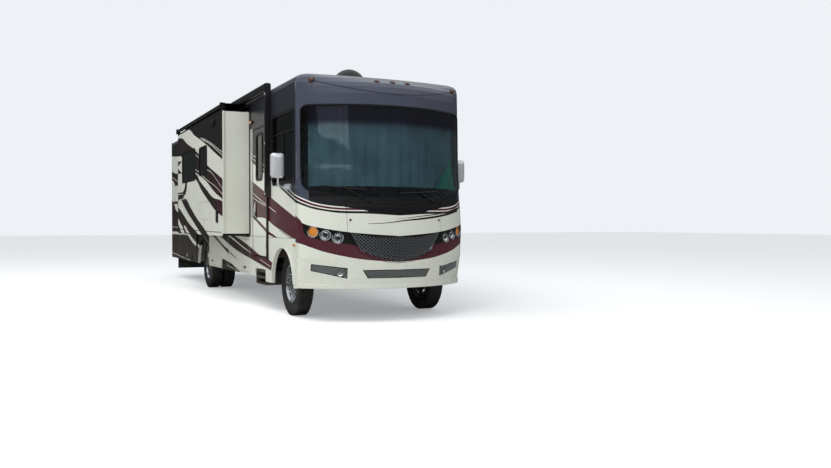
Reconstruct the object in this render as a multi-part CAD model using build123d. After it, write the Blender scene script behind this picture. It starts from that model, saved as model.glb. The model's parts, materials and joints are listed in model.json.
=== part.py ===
from build123d import *
import math
import os

# A class A motorhome on a petrol truck chassis, with both slide-out rooms extended.
# Frame: +X forward, +Y to the driver's side (road side), +Z up, origin on the ground
# under the middle of the coach. The kerb side, with the entry door, is -Y. Lengths in mm.

# Overall body
NOSE_X = 5680.0                 # foremost point of the front cap
TAIL_X = -5620.0                # rear face of the rear cap
HALF_WIDTH = 1295.0             # 102 in wide body
WALL_T = 45.0                   # laminated side wall
SKIRT_BOTTOM = 505.0
SKIRT_FRONT_BOTTOM = 455.0      # ahead of the entry step
BELT_Z = 1150.0                 # joint between the skirt and the side wall, and top of the floor
WALL_TOP = 3380.0
ROOF_TOP = 3500.0
CAP_SEAM_X = 4960.0             # where the front cap meets the side walls
REAR_SEAM_X = -5500.0
CAP_T = 40.0                    # thickness of the moulded caps
DOOR_GAP = 6.0                  # running gap round every door

# Axles and wheels
WHEELBASE = 5791.0              # 228 in
FRONT_AXLE_X = NOSE_X - 1360.0
REAR_AXLE_X = FRONT_AXLE_X - WHEELBASE
TYRE_R = 474.0
TYRE_W = 235.0
RIM_R = 286.0
FRONT_TYRE_Y = 1065.0           # middle of the front tyre
DUAL_Y = (825.0, 1092.0)        # middles of the two rear tyres
KINGPIN_Y = 880.0
FRONT_ARCH_R = 540.0
REAR_ARCH_R = 560.0

# Chassis
RAIL_Y = 430.0
RAIL_W = 75.0
RAIL_T = 10.0
RAIL_Z = (720.0, 950.0)
FLOOR_T = 60.0

# Slide-out rooms, in their extended place
SLIDE_REACH = 1750.0            # outer skin from the centre line
SLIDE_TRAVEL = 400.0
SLIDE_Z = (1178.0, 3274.0)
SLIDE_WALL = 40.0
SLIDE_INNER_Y = 1225.0
SLIDE_GAP = 10.0
LIP = 25.0
LIP_T = 30.0
SLIDES = {                      # side: (sign of Y, rear X, front X)
    "curb": (-1, -1870.0, 2381.0),
    "road": (1, -1870.0, 2900.0),
}

# Windows: (rear X, front X, bottom Z, top Z)
SLIDE_WINDOWS = {
    "curb": ((-1370.0, 40.0, 2230.0, 2830.0), (435.0, 1147.0, 2290.0, 2790.0)),
    "road": ((-1250.0, 100.0, 2150.0, 2850.0), (1100.0, 2450.0, 2000.0, 2850.0)),
}
WALL_WINDOWS = {
    "curb": (),
    "road": ((-4500.0, -3500.0, 2150.0, 2850.0),),
}
CAB_WINDOW = (3830.0, 4930.0, 1980.0, 3000.0)
WINDOW_R = 60.0
GLASS_T = 8.0

# Entry door on the kerb side
DOOR_X = (2650.0, 3450.0)
DOOR_Z = (850.0, 2930.0)
DOOR_WINDOW = (2870.0, 3240.0, 2090.0, 2830.0)
STEP_X = (2810.0, 3390.0)
STEP_Z = (390.0, 620.0)

# Storage bays behind the skirts: (rear X, front X) of each box and of each door
BAY_Z = (530.0, 1090.0)
BAY_DOOR_Z = (540.0, 1110.0)
BAY_BACK_Y = 500.0
BAY_T = 15.0
BAY_BOXES = ((-850.0, 2450.0), (-5100.0, -2250.0))
BAY_DOORS = ((-810.0, 770.0), (830.0, 2410.0), (-4400.0, -2450.0))
BAY_DOOR_T = 30.0

# Front hood and grille
HOOD_T = 30.0
# Front views from the middle outwards: (Y, Z) of the hood and, inside it, of the grille's opening
HOOD_TOP = ((0.0, 1635.0), (740.0, 1690.0))
HOOD_SIDE = ((725.0, 1240.0), (570.0, 985.0))
HOOD_LOWEST = 828.0
GRILLE_TOP = ((0.0, 1180.0), (690.0, 1250.0))
GRILLE_SIDE = (545.0, 1000.0)
GRILLE_LOWEST = 850.0
CAP_SPLIT_Z = 1500.0

# Front cap: height, foremost X, half width, corner radius, X where the straight side ends
CORNER_BACK = CAP_SEAM_X + 2
CAP_ROWS = (
    (470.0, 5630.0, 1290.0, 200.0, CORNER_BACK),
    (620.0, 5660.0, 1295.0, 200.0, 4975.0),
    (900.0, NOSE_X, 1295.0, 230.0, 5045.0),
    (1300.0, 5678.0, 1295.0, 230.0, 5070.0),
    (1600.0, 5660.0, 1295.0, 230.0, 5040.0),
    (1750.0, 5645.0, 1295.0, 230.0, 5010.0),
    (2200.0, 5615.0, 1295.0, 220.0, 4970.0),
    (2800.0, 5580.0, 1295.0, 200.0, CORNER_BACK),
    (3200.0, 5555.0, 1295.0, 170.0, CORNER_BACK),
    (3300.0, 5530.0, 1293.0, 165.0, CORNER_BACK),
    (3360.0, 5480.0, 1293.0, 160.0, CORNER_BACK),
    (3430.0, 5340.0, 1280.0, 140.0, CORNER_BACK),
    (3475.0, 5180.0, 1245.0, 80.0, CORNER_BACK),
    (ROOF_TOP, 5100.0, 1150.0, 40.0, CORNER_BACK),
)
CAP_CEILING = 3360.0            # inside height of the cap
# Roof cross-section from the wall top inwards: half width, height
CEILING_Y, CEILING_Z = 1120.0, 3440.0
ROOF_EDGE = ((1295.0, WALL_TOP), (1280.0, 3430.0), (1245.0, 3475.0), (1150.0, ROOF_TOP))

WINDSHIELD_Y = 1262.0
WINDSHIELD_BASE = (1680.0, 1855.0)      # bottom edge: at the middle, at the sides
WINDSHIELD_TOP = 3040.0
WINDSHIELD_R = (160.0, 90.0)            # lower corners, upper corners
WINDSHIELD_T = 9.0
BROW = (3210.0, 3400.0)                 # lower edge of the visor: at the middle, at the sides
BROW_Y = 1150.0
BROW_OUT = 12.0
BROW_TOP = 3440.0


# General helpers

def box(x0, x1, y0, y1, z0, z1):
    """A block between two corners."""
    size = (abs(x1 - x0), abs(y1 - y0), abs(z1 - z0))
    return Pos((x0 + x1) / 2, (y0 + y1) / 2, (z0 + z1) / 2) * Box(*size)


def rod(start, end, radius):
    """A round bar between two points."""
    line = Vector(*end) - Vector(*start)
    plane = Plane(origin=start, z_dir=line)
    return extrude(plane * Circle(radius), line.length)


def side_panel(x0, x1, z0, z1, radius, y0, y1):
    """A rounded panel in the plane of the side wall, between two Y values."""
    plane = Plane(origin=((x0 + x1) / 2, y0, (z0 + z1) / 2), x_dir=(1, 0, 0), z_dir=(0, 1, 0))
    return extrude(plane * RectangleRounded(x1 - x0, z1 - z0, radius), y1 - y0)


def both(shape):
    """A shape and its mirror image across the centre line."""
    return [shape, shape.mirror(Plane.XZ)]


def on_side(shape, sign):
    """A shape drawn for the road side, mirrored for the kerb side."""
    return shape if sign > 0 else shape.mirror(Plane.XZ)


def solids_of(*shapes):
    """All the solids of several shapes as one compound, left separate."""
    solids = []
    for shape in shapes:
        if isinstance(shape, (list, tuple, ShapeList)):
            solids.extend(solids_of(*shape).solids())
        else:
            solids.extend(shape.solids())
    return Compound(solids)


# Front cap

FRONT_VIEW_X = CAP_SEAM_X + 20   # where the cutters drawn in the front view start


def front_cut(sketch, start_x=FRONT_VIEW_X):
    """A face drawn in the front view as a block forward through the cap."""
    plane = Plane(origin=(start_x, 0, 0), x_dir=(0, 1, 0), z_dir=(1, 0, 0))
    return extrude(plane * sketch, NOSE_X + 100 - start_x)


def nose_radius(nose_x, half, corner_r, corner_x):
    """Radius of the nose arc that runs tangent into both corner arcs."""
    run = corner_x - nose_x
    corner_y = half - corner_r
    return (corner_r ** 2 - run ** 2 - corner_y ** 2) / (2 * (run + corner_r))


def cap_section(z, nose_x, half, corner_r, corner_x, back_x):
    """Plan outline of the cap at one height: straight sides, two corner arcs and the nose arc."""
    nose_r = nose_radius(nose_x, half, corner_r, corner_x)
    nose_cx = nose_x - nose_r
    corner_y = half - corner_r
    nose_angle = math.atan2(corner_y, corner_x - nose_cx)
    mid_angle = (nose_angle + math.pi / 2) / 2
    start = (corner_x, half)
    mid = (corner_x + corner_r * math.cos(mid_angle), corner_y + corner_r * math.sin(mid_angle))
    end = (nose_cx + nose_r * math.cos(nose_angle), nose_r * math.sin(nose_angle))
    start_m, mid_m, end_m = ((x, -y) for x, y in (start, mid, end))
    with BuildSketch(Plane.XY.offset(z)) as sketch:
        with BuildLine():
            Line((back_x, -half), start_m)
            ThreePointArc(start_m, mid_m, end_m)
            ThreePointArc(end_m, (nose_x, 0), end)
            ThreePointArc(end, mid, start)
            Line(start, (back_x, half))
            Line((back_x, half), (back_x, -half))
        make_face()
    return sketch.sketch.face()


def cap_row_at(z):
    """The cap's row at any height, between the rows of the table."""
    rows = CAP_ROWS
    for low, high in zip(rows, rows[1:]):
        if low[0] <= z <= high[0]:
            t = (z - low[0]) / (high[0] - low[0])
            return tuple(a + (b - a) * t for a, b in zip(low, high))
    raise ValueError(z)


def cap_solid(z0, z1, inset, back_x):
    """The cap's form between two heights, drawn in by an inset."""
    rows = [cap_row_at(z0)] + [r for r in CAP_ROWS if z0 < r[0] < z1] + [cap_row_at(z1)]
    faces = [
        cap_section(z, nose - inset, half - inset, corner_r - inset, corner_x, back_x)
        for z, nose, half, corner_r, corner_x in rows
    ]
    return loft(faces, ruled=True)


def cap_shell(z0, z1, outer=0.0, inner=CAP_T, roofed=False):
    """The cap's wall between two heights, open behind, and above unless roofed."""
    body = cap_solid(z0, z1, outer, CAP_SEAM_X)
    if not roofed:
        return body - cap_solid(z0, z1, inner, CAP_SEAM_X - 1)
    core = cap_solid(z0, CAP_CEILING, inner, CAP_SEAM_X - 1)
    return body - core


def windshield_cutter(margin=0.0):
    """The windshield's outline seen from the front, as a block through the cap."""
    y = WINDSHIELD_Y + margin
    middle, side = WINDSHIELD_BASE[0] - margin, WINDSHIELD_BASE[1] - margin
    top = WINDSHIELD_TOP + margin
    with BuildSketch() as sketch:
        with BuildLine():
            ThreePointArc((-y, side), (0, middle), (y, side))
            Polyline((y, side), (y, top), (-y, top), (-y, side))
        make_face()
        fillet(sketch.vertices().group_by(Axis.Y)[0], WINDSHIELD_R[0] + margin)
        fillet(sketch.vertices().group_by(Axis.Y)[-1], WINDSHIELD_R[1] + margin)
    return front_cut(sketch.sketch)


def hood_cutter(margin=0.0):
    """Front view of the hood: arched top under the glass, sides drawn in round the grille."""
    (_, crown), (top_y, top_z) = HOOD_TOP
    (side_y, side_z), (low_y, low_z) = HOOD_SIDE
    m = margin
    with BuildSketch() as sketch:
        with BuildLine():
            ThreePointArc((-top_y - m, top_z + m), (0, crown + m), (top_y + m, top_z + m))
            Polyline((top_y + m, top_z + m), (side_y + m, side_z), (low_y + m, low_z - m))
            ThreePointArc((low_y + m, low_z - m), (0, HOOD_LOWEST - m), (-low_y - m, low_z - m))
            Polyline((-low_y - m, low_z - m), (-side_y - m, side_z), (-top_y - m, top_z + m))
        make_face()
    return front_cut(sketch.sketch, CAP_SEAM_X + 200)


def grille_cutter():
    """Front view of the upper grille's opening, inside the hood's outline."""
    (_, crown), (top_y, top_z) = GRILLE_TOP
    low_y, low_z = GRILLE_SIDE
    with BuildSketch() as sketch:
        with BuildLine():
            ThreePointArc((-top_y, top_z), (0, crown), (top_y, top_z))
            Line((top_y, top_z), (low_y, low_z))
            ThreePointArc((low_y, low_z), (0, GRILLE_LOWEST), (-low_y, low_z))
            Line((-low_y, low_z), (-top_y, top_z))
        make_face()
    return front_cut(sketch.sketch, CAP_SEAM_X + 200)


def brow_cutter():
    """Front view of everything above the visor's arched lower edge."""
    with BuildSketch() as sketch:
        with BuildLine():
            ThreePointArc((-BROW_Y, BROW[1]), (0, BROW[0]), (BROW_Y, BROW[1]))
            Polyline((BROW_Y, BROW[1]), (BROW_Y, BROW_TOP), (-BROW_Y, BROW_TOP), (-BROW_Y, BROW[1]))
        make_face()
    return front_cut(sketch.sketch)


# Lamps in the front cap: (Y, Z, radius), kerb side, mirrored to the road side
HEADLAMPS = ((850.0, 1180.0, 70.0), (1002.0, 1222.0, 70.0))
TURN_LAMP = (1150.0, 1262.0, 68.0)
FOG_OUTLINE = ((1160.0, 812.0), (1160.0, 717.0), (720.0, 612.0), (720.0, 757.0))
LOWER_GRILLE = ((529.0, 731.0), (453.0, 612.0))     # upper and lower corners: Y, Z
LAMP_GAP = 1.0


def nose_normal(y, z):
    """Point on the cap's outer face and its plan direction there, in degrees."""
    _, nose_x, half, corner_r, corner_x = cap_row_at(z)
    nose_r = nose_radius(nose_x, half, corner_r, corner_x)
    nose_cx = nose_x - nose_r
    corner_y = half - corner_r
    limit = nose_r * corner_y / (nose_r - corner_r)
    if abs(y) <= limit:
        angle = math.asin(y / nose_r)
        return nose_cx + nose_r * math.cos(angle), math.degrees(angle)
    angle = math.asin((abs(y) - corner_y) / corner_r)
    return corner_x + corner_r * math.cos(angle), math.degrees(math.copysign(angle, y))


def lamp_plug(y, z, radius, outer, depth):
    """A round lamp set square to the cap, from outer mm outside it to depth mm inside."""
    x, turn = nose_normal(y, z)
    a = math.radians(turn)
    out = Vector(math.cos(a), math.sin(a), 0)
    centre = Vector(x, y, z)
    return rod(tuple(centre - out * depth), tuple(centre + out * outer), radius)


def fog_cutter(margin=0.0):
    (y0, z0), (_, z1), (y2, z2), (_, z3) = FOG_OUTLINE
    m = margin
    outline = Polyline((y0 + m, z0 + m), (y0 + m, z1 - m), (y2 - m, z2 - m), (y2 - m, z3 + m), close=True)
    return front_cut(make_face(outline))


def lower_grille_cutter(margin=0.0):
    (y0, z0), (y1, z1) = LOWER_GRILLE
    m = margin
    outline = Polyline((-y0 - m, z0 + m), (y0 + m, z0 + m), (y1 + m, z1 - m), (-y1 - m, z1 - m), close=True)
    return front_cut(make_face(outline), CAP_SEAM_X + 200)


def front_fascia():
    """Lower front cap: bumper, lamp recesses, opening for the hood and the lower grille slot."""
    shell = cap_shell(CAP_ROWS[0][0], CAP_SPLIT_Z)
    shell -= hood_cutter(DOOR_GAP)
    shell -= lower_grille_cutter()
    for y, z, radius in HEADLAMPS + (TURN_LAMP,):
        shell -= solids_of(both(lamp_plug(y, z, radius + LAMP_GAP, 60, 60)))
    shell -= solids_of(both(fog_cutter(LAMP_GAP)))
    bars = cap_shell(590.0, 760.0, 18, 26) & lower_grille_cutter()
    return shell + bars


def upper_cap():
    """Upper front cap: windshield surround and brow with its visor, turning into the roof."""
    shell = cap_shell(CAP_SPLIT_Z, ROOF_TOP, roofed=True)
    z0, z1 = BROW[0] - 10, BROW_TOP
    visor = cap_solid(z0, z1, -BROW_OUT, CAP_SEAM_X) - cap_solid(z0, z1, 1.0, CAP_SEAM_X - 1)
    shell += visor & brow_cutter()
    return shell - windshield_cutter(2.0) - hood_cutter(DOOR_GAP)


def windshield():
    glass = cap_shell(CAP_SPLIT_Z, WINDSHIELD_TOP + 60, 2.0, 2.0 + WINDSHIELD_T)
    return glass & windshield_cutter()


def hood():
    """Hood panel round the grille's opening, with the grille frame carried behind it."""
    panel = cap_shell(HOOD_LOWEST - 20, HOOD_TOP[1][1] + 20, 0.0, HOOD_T) & hood_cutter()
    return panel - grille_cutter()


def hood_grille():
    """Grille plate set back in the hood's opening."""
    return cap_shell(GRILLE_LOWEST - 20, GRILLE_TOP[1][1] + 20, 12.0, 20.0) & grille_cutter()


# Body

def side_y(sign, depth):
    """Y at a depth inside the outer face of a side."""
    return sign * (HALF_WIDTH - depth)


def skirt(side, sign):
    """Lower side panel with the wheel arches, bay doors and, on the kerb side, the steps."""
    middle_x = (STEP_X[0] + STEP_X[1]) / 2
    faces = (side_y(sign, 0), side_y(sign, WALL_T))
    panel = box(REAR_SEAM_X, middle_x, *faces, SKIRT_BOTTOM, BELT_Z)
    panel += box(middle_x, CAP_SEAM_X, *faces, SKIRT_FRONT_BOTTOM, BELT_Z)
    for x, radius in ((FRONT_AXLE_X, FRONT_ARCH_R), (REAR_AXLE_X, REAR_ARCH_R)):
        panel -= rod((x, sign * 1200, TYRE_R), (x, sign * 1350, TYRE_R), radius)
    for x0, x1 in BAY_DOORS:
        panel -= box(x0, x1, sign * 1200, sign * 1350, *BAY_DOOR_Z)
    if side == "curb":
        panel -= box(DOOR_X[0], DOOR_X[1], -1350, -1200, DOOR_Z[0], BELT_Z + 1)
        panel -= box(STEP_X[0] - 20, STEP_X[1] + 20, -1350, -1200, SKIRT_FRONT_BOTTOM - 1, STEP_Z[1] + 20)
    return panel


def wall(side, sign):
    """Side wall from the belt to the roof, with its windows, door and slide-out opening."""
    panel = box(REAR_SEAM_X, CAP_SEAM_X, side_y(sign, 0), side_y(sign, WALL_T), BELT_Z, WALL_TOP)
    _, x0, x1 = SLIDES[side]
    panel -= box(x0 - SLIDE_GAP, x1 + SLIDE_GAP, sign * 1200, sign * 1350,
                 SLIDE_Z[0] - SLIDE_GAP, SLIDE_Z[1] + SLIDE_GAP)
    for x0, x1, z0, z1 in WALL_WINDOWS[side] + (CAB_WINDOW,):
        panel -= side_panel(x0, x1, z0, z1, WINDOW_R, min(sign * 1200, sign * 1350), max(sign * 1200, sign * 1350))
    if side == "curb":
        panel -= box(DOOR_X[0], DOOR_X[1], -1350, -1200, BELT_Z - 1, DOOR_Z[1])
    return panel


def side_glass():
    """Fixed panes of the side walls."""
    panes = []
    for sign, side in ((-1, "curb"), (1, "road")):
        for x0, x1, z0, z1 in WALL_WINDOWS[side] + (CAB_WINDOW,):
            y0, y1 = sorted((side_y(sign, 6), side_y(sign, 6 + GLASS_T)))
            panes.append(side_panel(x0, x1, z0, z1, WINDOW_R, y0, y1))
    return solids_of(panes)


def roof():
    """Roof panel, with its ceiling raised between the edge beams."""
    points = [(y, z) for y, z in ROOF_EDGE]
    outline = Polyline([(-y, z) for y, z in points] + [(y, z) for y, z in reversed(points)], close=True)
    plane = Plane(origin=(REAR_SEAM_X, 0, 0), x_dir=(0, 1, 0), z_dir=(1, 0, 0))
    panel = extrude(plane * make_face(outline), CAP_SEAM_X - REAR_SEAM_X)
    return panel - box(REAR_SEAM_X + 60, CAP_SEAM_X - 60, -CEILING_Y, CEILING_Y, WALL_TOP - 1, CEILING_Z)


def rear_cap():
    """Moulded rear cap, an open-fronted tray with rounded corners and a sloped top."""
    depth = REAR_SEAM_X - TAIL_X
    outer = box(TAIL_X, REAR_SEAM_X, -HALF_WIDTH, HALF_WIDTH, SKIRT_BOTTOM, WALL_TOP + 80)
    outer = fillet(outer.edges().filter_by(Axis.Z).group_by(Axis.X)[0], depth * 0.85)
    inner = box(TAIL_X + CAP_T, REAR_SEAM_X + 1, -HALF_WIDTH + WALL_T, HALF_WIDTH - WALL_T,
                SKIRT_BOTTOM - 1, WALL_TOP - CAP_T)
    inner = fillet(inner.edges().filter_by(Axis.Z).group_by(Axis.X)[0], depth * 0.5)
    return outer - inner


def floor_deck():
    """Floor of the coach with the stepwell sunk into it at the entry door."""
    deck = box(REAR_SEAM_X + 20, CAP_SEAM_X - 60, -HALF_WIDTH + WALL_T, HALF_WIDTH - WALL_T,
               BELT_Z - FLOOR_T, BELT_Z)
    well_y = (-HALF_WIDTH + WALL_T, -760.0)
    x0, x1 = DOOR_X[0] - 20, DOOR_X[1] + 20
    deck -= box(x0, x1, well_y[0], well_y[1], BELT_Z - FLOOR_T - 1, BELT_Z + 1)
    well = box(x0 - 15, x1 + 15, well_y[0], well_y[1] + 15, DOOR_Z[0] - 20, BELT_Z - FLOOR_T)
    well -= box(x0, x1, well_y[0] - 1, well_y[1], DOOR_Z[0], BELT_Z)
    return deck + well


def storage_bays():
    """Open-sided boxes hung under the floor behind the bay doors."""
    boxes = []
    for x0, x1 in BAY_BOXES:
        outer = box(x0, x1, BAY_BACK_Y, HALF_WIDTH - WALL_T, *BAY_Z)
        inner = box(x0 + BAY_T, x1 - BAY_T, BAY_BACK_Y + BAY_T, HALF_WIDTH, BAY_Z[0] + BAY_T, BAY_Z[1] + 1)
        boxes += both(outer - inner)
    return solids_of(boxes)


# Chassis

def channel_rail():
    """One frame rail, a channel open to the inside."""
    y0, y1 = RAIL_Y - RAIL_W / 2, RAIL_Y + RAIL_W / 2
    rail = box(-5350, 5330, y0, y1, *RAIL_Z)
    return rail - box(-5351, 5331, y0 - 1, y1 - RAIL_T, RAIL_Z[0] + RAIL_T, RAIL_Z[1] - RAIL_T)


CROSS_MEMBER_X = (-5300.0, -4100.0, -2900.0, -2100.0, -900.0, 400.0, 1700.0, 3000.0, 5250.0)
FLOOR_PAD_X = (-4700.0, -3500.0, -300.0, 1100.0, 2400.0, 3600.0)


WEB_Y = RAIL_Y + RAIL_W / 2 - RAIL_T      # inner face of a rail's web
CROSS_Z = (RAIL_Z[0] + 80, RAIL_Z[1] - 30)


def cross_members():
    """Bars between the rails' webs, and the pads that carry the floor on the rails."""
    bars = [box(x - 30, x + 30, -WEB_Y, WEB_Y, *CROSS_Z) for x in CROSS_MEMBER_X]
    for x in FLOOR_PAD_X:
        bars += both(box(x - 40, x + 40, RAIL_Y - 37, RAIL_Y + 37, RAIL_Z[1], BELT_Z - FLOOR_T))
    return solids_of(bars)


RECEIVER = 63.5                  # outside of the receiver tube, 2.5 in
RECEIVER_IN = 50.8 + 0.8         # 2 in socket
PIN_R = 8.35
HITCH_Z = 430.0
HITCH_X = (-5610.0, -5290.0)
PIN_X = -5550.0


def hitch_receiver():
    """Square receiver tube with its pin hole, on a bar hung under the rails."""
    half, inside = RECEIVER / 2, RECEIVER_IN / 2
    tube = box(HITCH_X[0], HITCH_X[1], -half, half, HITCH_Z - half, HITCH_Z + half)
    tube += box(HITCH_X[1] - 60, HITCH_X[1], -RAIL_Y - 37, RAIL_Y + 37, HITCH_Z - half, HITCH_Z + half)
    for sign in (-1, 1):
        tube += box(HITCH_X[1] - 60, HITCH_X[1], sign * (RAIL_Y - 3), sign * (RAIL_Y + 37), HITCH_Z, RAIL_Z[0])
    tube -= box(HITCH_X[0] - 1, HITCH_X[1] + 1, -inside, inside, HITCH_Z - inside, HITCH_Z + inside)
    return tube - rod((PIN_X, -half - 1, HITCH_Z), (PIN_X, half + 1, HITCH_Z), PIN_R)


def engine_block():
    engine = box(4420, 5120, -320, 320, 640, 1060)
    gearbox = loft([
        Plane(origin=(4420, 0, 820), z_dir=(-1, 0, 0)) * Circle(230),
        Plane(origin=(3550, 0, 760), z_dir=(-1, 0, 0)) * Circle(120),
    ])
    shaft = rod((3550, 0, 760), (REAR_AXLE_X + 300, 0, 540), 50)
    return engine + gearbox + shaft


def leaf_pack(x, z_top, half_length, leaves):
    """A pack of leaves that get shorter downwards."""
    pack = None
    for i in range(leaves):
        reach = half_length * (1 - 0.16 * i)
        leaf = box(x - reach, x + reach, RAIL_Y - 38, RAIL_Y + 38, z_top - 14 * (i + 1), z_top - 14 * i)
        pack = leaf if pack is None else pack + leaf
    return pack


def spring_hangers(x, z_top, half_length):
    """The brackets that hold a spring's ends under the rail."""
    return [box(x + e - 35, x + e + 35, RAIL_Y - 38, RAIL_Y + 38, z_top, RAIL_Z[0])
            for e in (-half_length + 35, half_length - 35)]


def front_axle():
    """I-beam axle with its springs and the eyes that hold the kingpins."""
    beam_z = (420.0, 530.0)
    beam = box(FRONT_AXLE_X - 45, FRONT_AXLE_X + 45, -KINGPIN_Y + 30, KINGPIN_Y - 30, *beam_z)
    for sign in (-1, 1):
        beam -= box(FRONT_AXLE_X + sign * 12, FRONT_AXLE_X + sign * 46, -KINGPIN_Y + 90, KINGPIN_Y - 90,
                    beam_z[0] + 20, beam_z[1] - 20)
        eye = (FRONT_AXLE_X, sign * KINGPIN_Y)
        beam += rod((*eye, beam_z[0]), (*eye, beam_z[1]), 48)
        beam -= rod((*eye, beam_z[0] - 1), (*eye, beam_z[1] + 1), 20.3)
    half_length = 700.0
    pack = leaf_pack(FRONT_AXLE_X, 586.0, half_length, 4)
    parts = [pack] + spring_hangers(FRONT_AXLE_X, 586.0, half_length)
    for part in parts:
        for copy in both(part):
            beam += copy
    return beam


def rear_axle():
    """Live axle housing with the differential and the rear springs."""
    axle = rod((REAR_AXLE_X, -925, TYRE_R), (REAR_AXLE_X, 925, TYRE_R), 62)
    for sign in (-1, 1):
        y = sign * RAIL_Y
        axle += box(REAR_AXLE_X - 70, REAR_AXLE_X + 70, y - 38, y + 38, TYRE_R, TYRE_R + 62)
    ball = Pos(REAR_AXLE_X, 0, TYRE_R) * Sphere(200)
    axle += ball & box(REAR_AXLE_X - 190, REAR_AXLE_X + 190, -170, 170, 260, 680)
    half_length = 760.0
    z_top = TYRE_R + 62 + 70
    pack = leaf_pack(REAR_AXLE_X, z_top, half_length, 5)
    for part in [pack] + spring_hangers(REAR_AXLE_X, z_top, half_length):
        for copy in both(part):
            axle += copy
    return axle


def knuckle(sign):
    """Steering knuckle: fork round the axle's eye, kingpin, spindle and brake disc."""
    x = FRONT_AXLE_X
    fork = box(x - 50, x + 50, KINGPIN_Y - 45, KINGPIN_Y + 80, 536, 580)
    fork += box(x - 50, x + 50, KINGPIN_Y - 45, KINGPIN_Y + 80, 370, 414)
    fork += box(x - 50, x + 50, KINGPIN_Y + 54, KINGPIN_Y + 80, 370, 580)
    fork += rod((x, KINGPIN_Y, 360), (x, KINGPIN_Y, 590), 20)
    fork += rod((x, KINGPIN_Y + 70, TYRE_R), (x, FRONT_TYRE_Y + 60, TYRE_R), 38)
    fork += box(x - 260, x - 40, KINGPIN_Y - 40, KINGPIN_Y + 10, 385, 410)
    return on_side(fork, sign)


# Wheels

WHEEL_PLANE = Plane(origin=(0, 0, 0), x_dir=(0, 0, 1), z_dir=(-1, 0, 0))   # radius up, axle along Y
TYRE_SECTION = (                 # radius, distance from the tyre's middle
    (RIM_R + 4, 82.0), (RIM_R + 60, 112.0), (390.0, TYRE_W / 2), (440.0, 112.0), (466.0, 100.0), (TYRE_R, 84.0),
)


def tyre(y):
    """One tyre with its axle along Y, its middle at Y."""
    half = [(r, w) for r, w in TYRE_SECTION]
    outline = half + [(r, -w) for r, w in reversed(half)]
    face = make_face(Polyline([(r, w + y) for r, w in outline], close=True))
    return revolve(WHEEL_PLANE * face, Axis.Y)


def at_wheel(shape, x):
    return Pos(x, 0, TYRE_R) * shape


def rim(y, disc_y, edge_y):
    """Steel wheel: barrel and a dished disc with hand holes, from its bolt face to the barrel."""
    profile = [(RIM_R + 4, 92.0), (RIM_R - 8, 92.0), (RIM_R - 26, 60.0), (RIM_R - 26, -60.0),
               (RIM_R - 8, -92.0), (RIM_R + 4, -92.0), (RIM_R + 4, -82.0), (RIM_R - 14, -58.0),
               (RIM_R - 14, 58.0), (RIM_R + 4, 82.0)]
    barrel = revolve(WHEEL_PLANE * make_face(Polyline([(r, w + y) for r, w in profile], close=True)), Axis.Y)
    t = math.copysign(12.0, edge_y - disc_y)
    disc_profile = [(39.0, disc_y), (150.0, disc_y), (RIM_R - 44, edge_y), (RIM_R - 26, edge_y),
                    (RIM_R - 26, edge_y + t), (RIM_R - 48, edge_y + t), (145.0, disc_y + t), (39.0, disc_y + t)]
    disc = revolve(WHEEL_PLANE * make_face(Polyline(disc_profile, close=True)), Axis.Y)
    for k in range(10):
        a = math.radians(36 * k)
        c = (math.cos(a) * 200, math.sin(a) * 200)
        disc -= rod((c[0], disc_y - 100, c[1]), (c[0], disc_y + 100, c[1]), 24)
    return barrel + disc


def hub(y0, y1, radius, bore):
    tube = rod((0, y0, 0), (0, y1, 0), radius)
    return tube - rod((0, min(y0, y1) - 1, 0), (0, max(y0, y1) + 1, 0), bore) if bore else tube


def front_rim():
    """Front wheel for the road side: convex disc outboard with its hub over the spindle."""
    wheel = rim(FRONT_TYRE_Y, FRONT_TYRE_Y + 55, FRONT_TYRE_Y + 20)
    wheel += hub(FRONT_TYRE_Y - 60, FRONT_TYRE_Y + 80, 105, 38.5)
    return wheel + hub(FRONT_TYRE_Y + 62, FRONT_TYRE_Y + 110, 70, 0)


def rear_rims():
    """The two dual wheels and the hub between them, for the road side."""
    inner, outer = DUAL_Y
    middle = (inner + outer) / 2
    wheel = rim(outer, middle + 1, outer - 50)
    wheel += rim(inner, middle - 1, inner + 50)
    return wheel + hub(middle - 30, 1160, 105, 0)


# Slide-out rooms

def slide_room(side):
    """A room box open to the coach, with an outer lip and an inner flange."""
    sign, x0, x1 = SLIDES[side]
    z0, z1 = SLIDE_Z
    room = box(x0, x1, SLIDE_INNER_Y, SLIDE_REACH, z0, z1)
    room -= box(x0 + SLIDE_WALL, x1 - SLIDE_WALL, SLIDE_INNER_Y - 1, SLIDE_REACH - SLIDE_WALL,
                z0 + SLIDE_WALL, z1 - SLIDE_WALL)
    lip = box(x0 - LIP, x1 + LIP, SLIDE_REACH - LIP_T, SLIDE_REACH, z0 - 12, z1 + LIP)
    lip -= box(x0 + 1, x1 - 1, SLIDE_REACH - LIP_T - 1, SLIDE_REACH + 1, z0 + 1, z1 - 1)
    flange = box(x0 - 40, x1 + 40, SLIDE_INNER_Y, SLIDE_INNER_Y + 15, z0 - 16, z1 + 40)
    flange -= box(x0 + 1, x1 - 1, SLIDE_INNER_Y - 1, SLIDE_INNER_Y + 16, z0 + 1, z1 - 1)
    room += lip + flange
    for w0, w1, b, t in SLIDE_WINDOWS[side]:
        room -= side_panel(w0, w1, b, t, WINDOW_R, SLIDE_REACH - SLIDE_WALL - 10, SLIDE_REACH + 10)
    roller = rod((x0 - LIP, 1742.0, 3362.0), (x1 + LIP, 1742.0, 3362.0), 36)
    for x in (x0 - LIP, x1 + LIP - 40):
        roller += box(x, x + 40, 1705, 1785, z1 + LIP, 3405)
    room += roller
    return on_side(room, sign)


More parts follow.
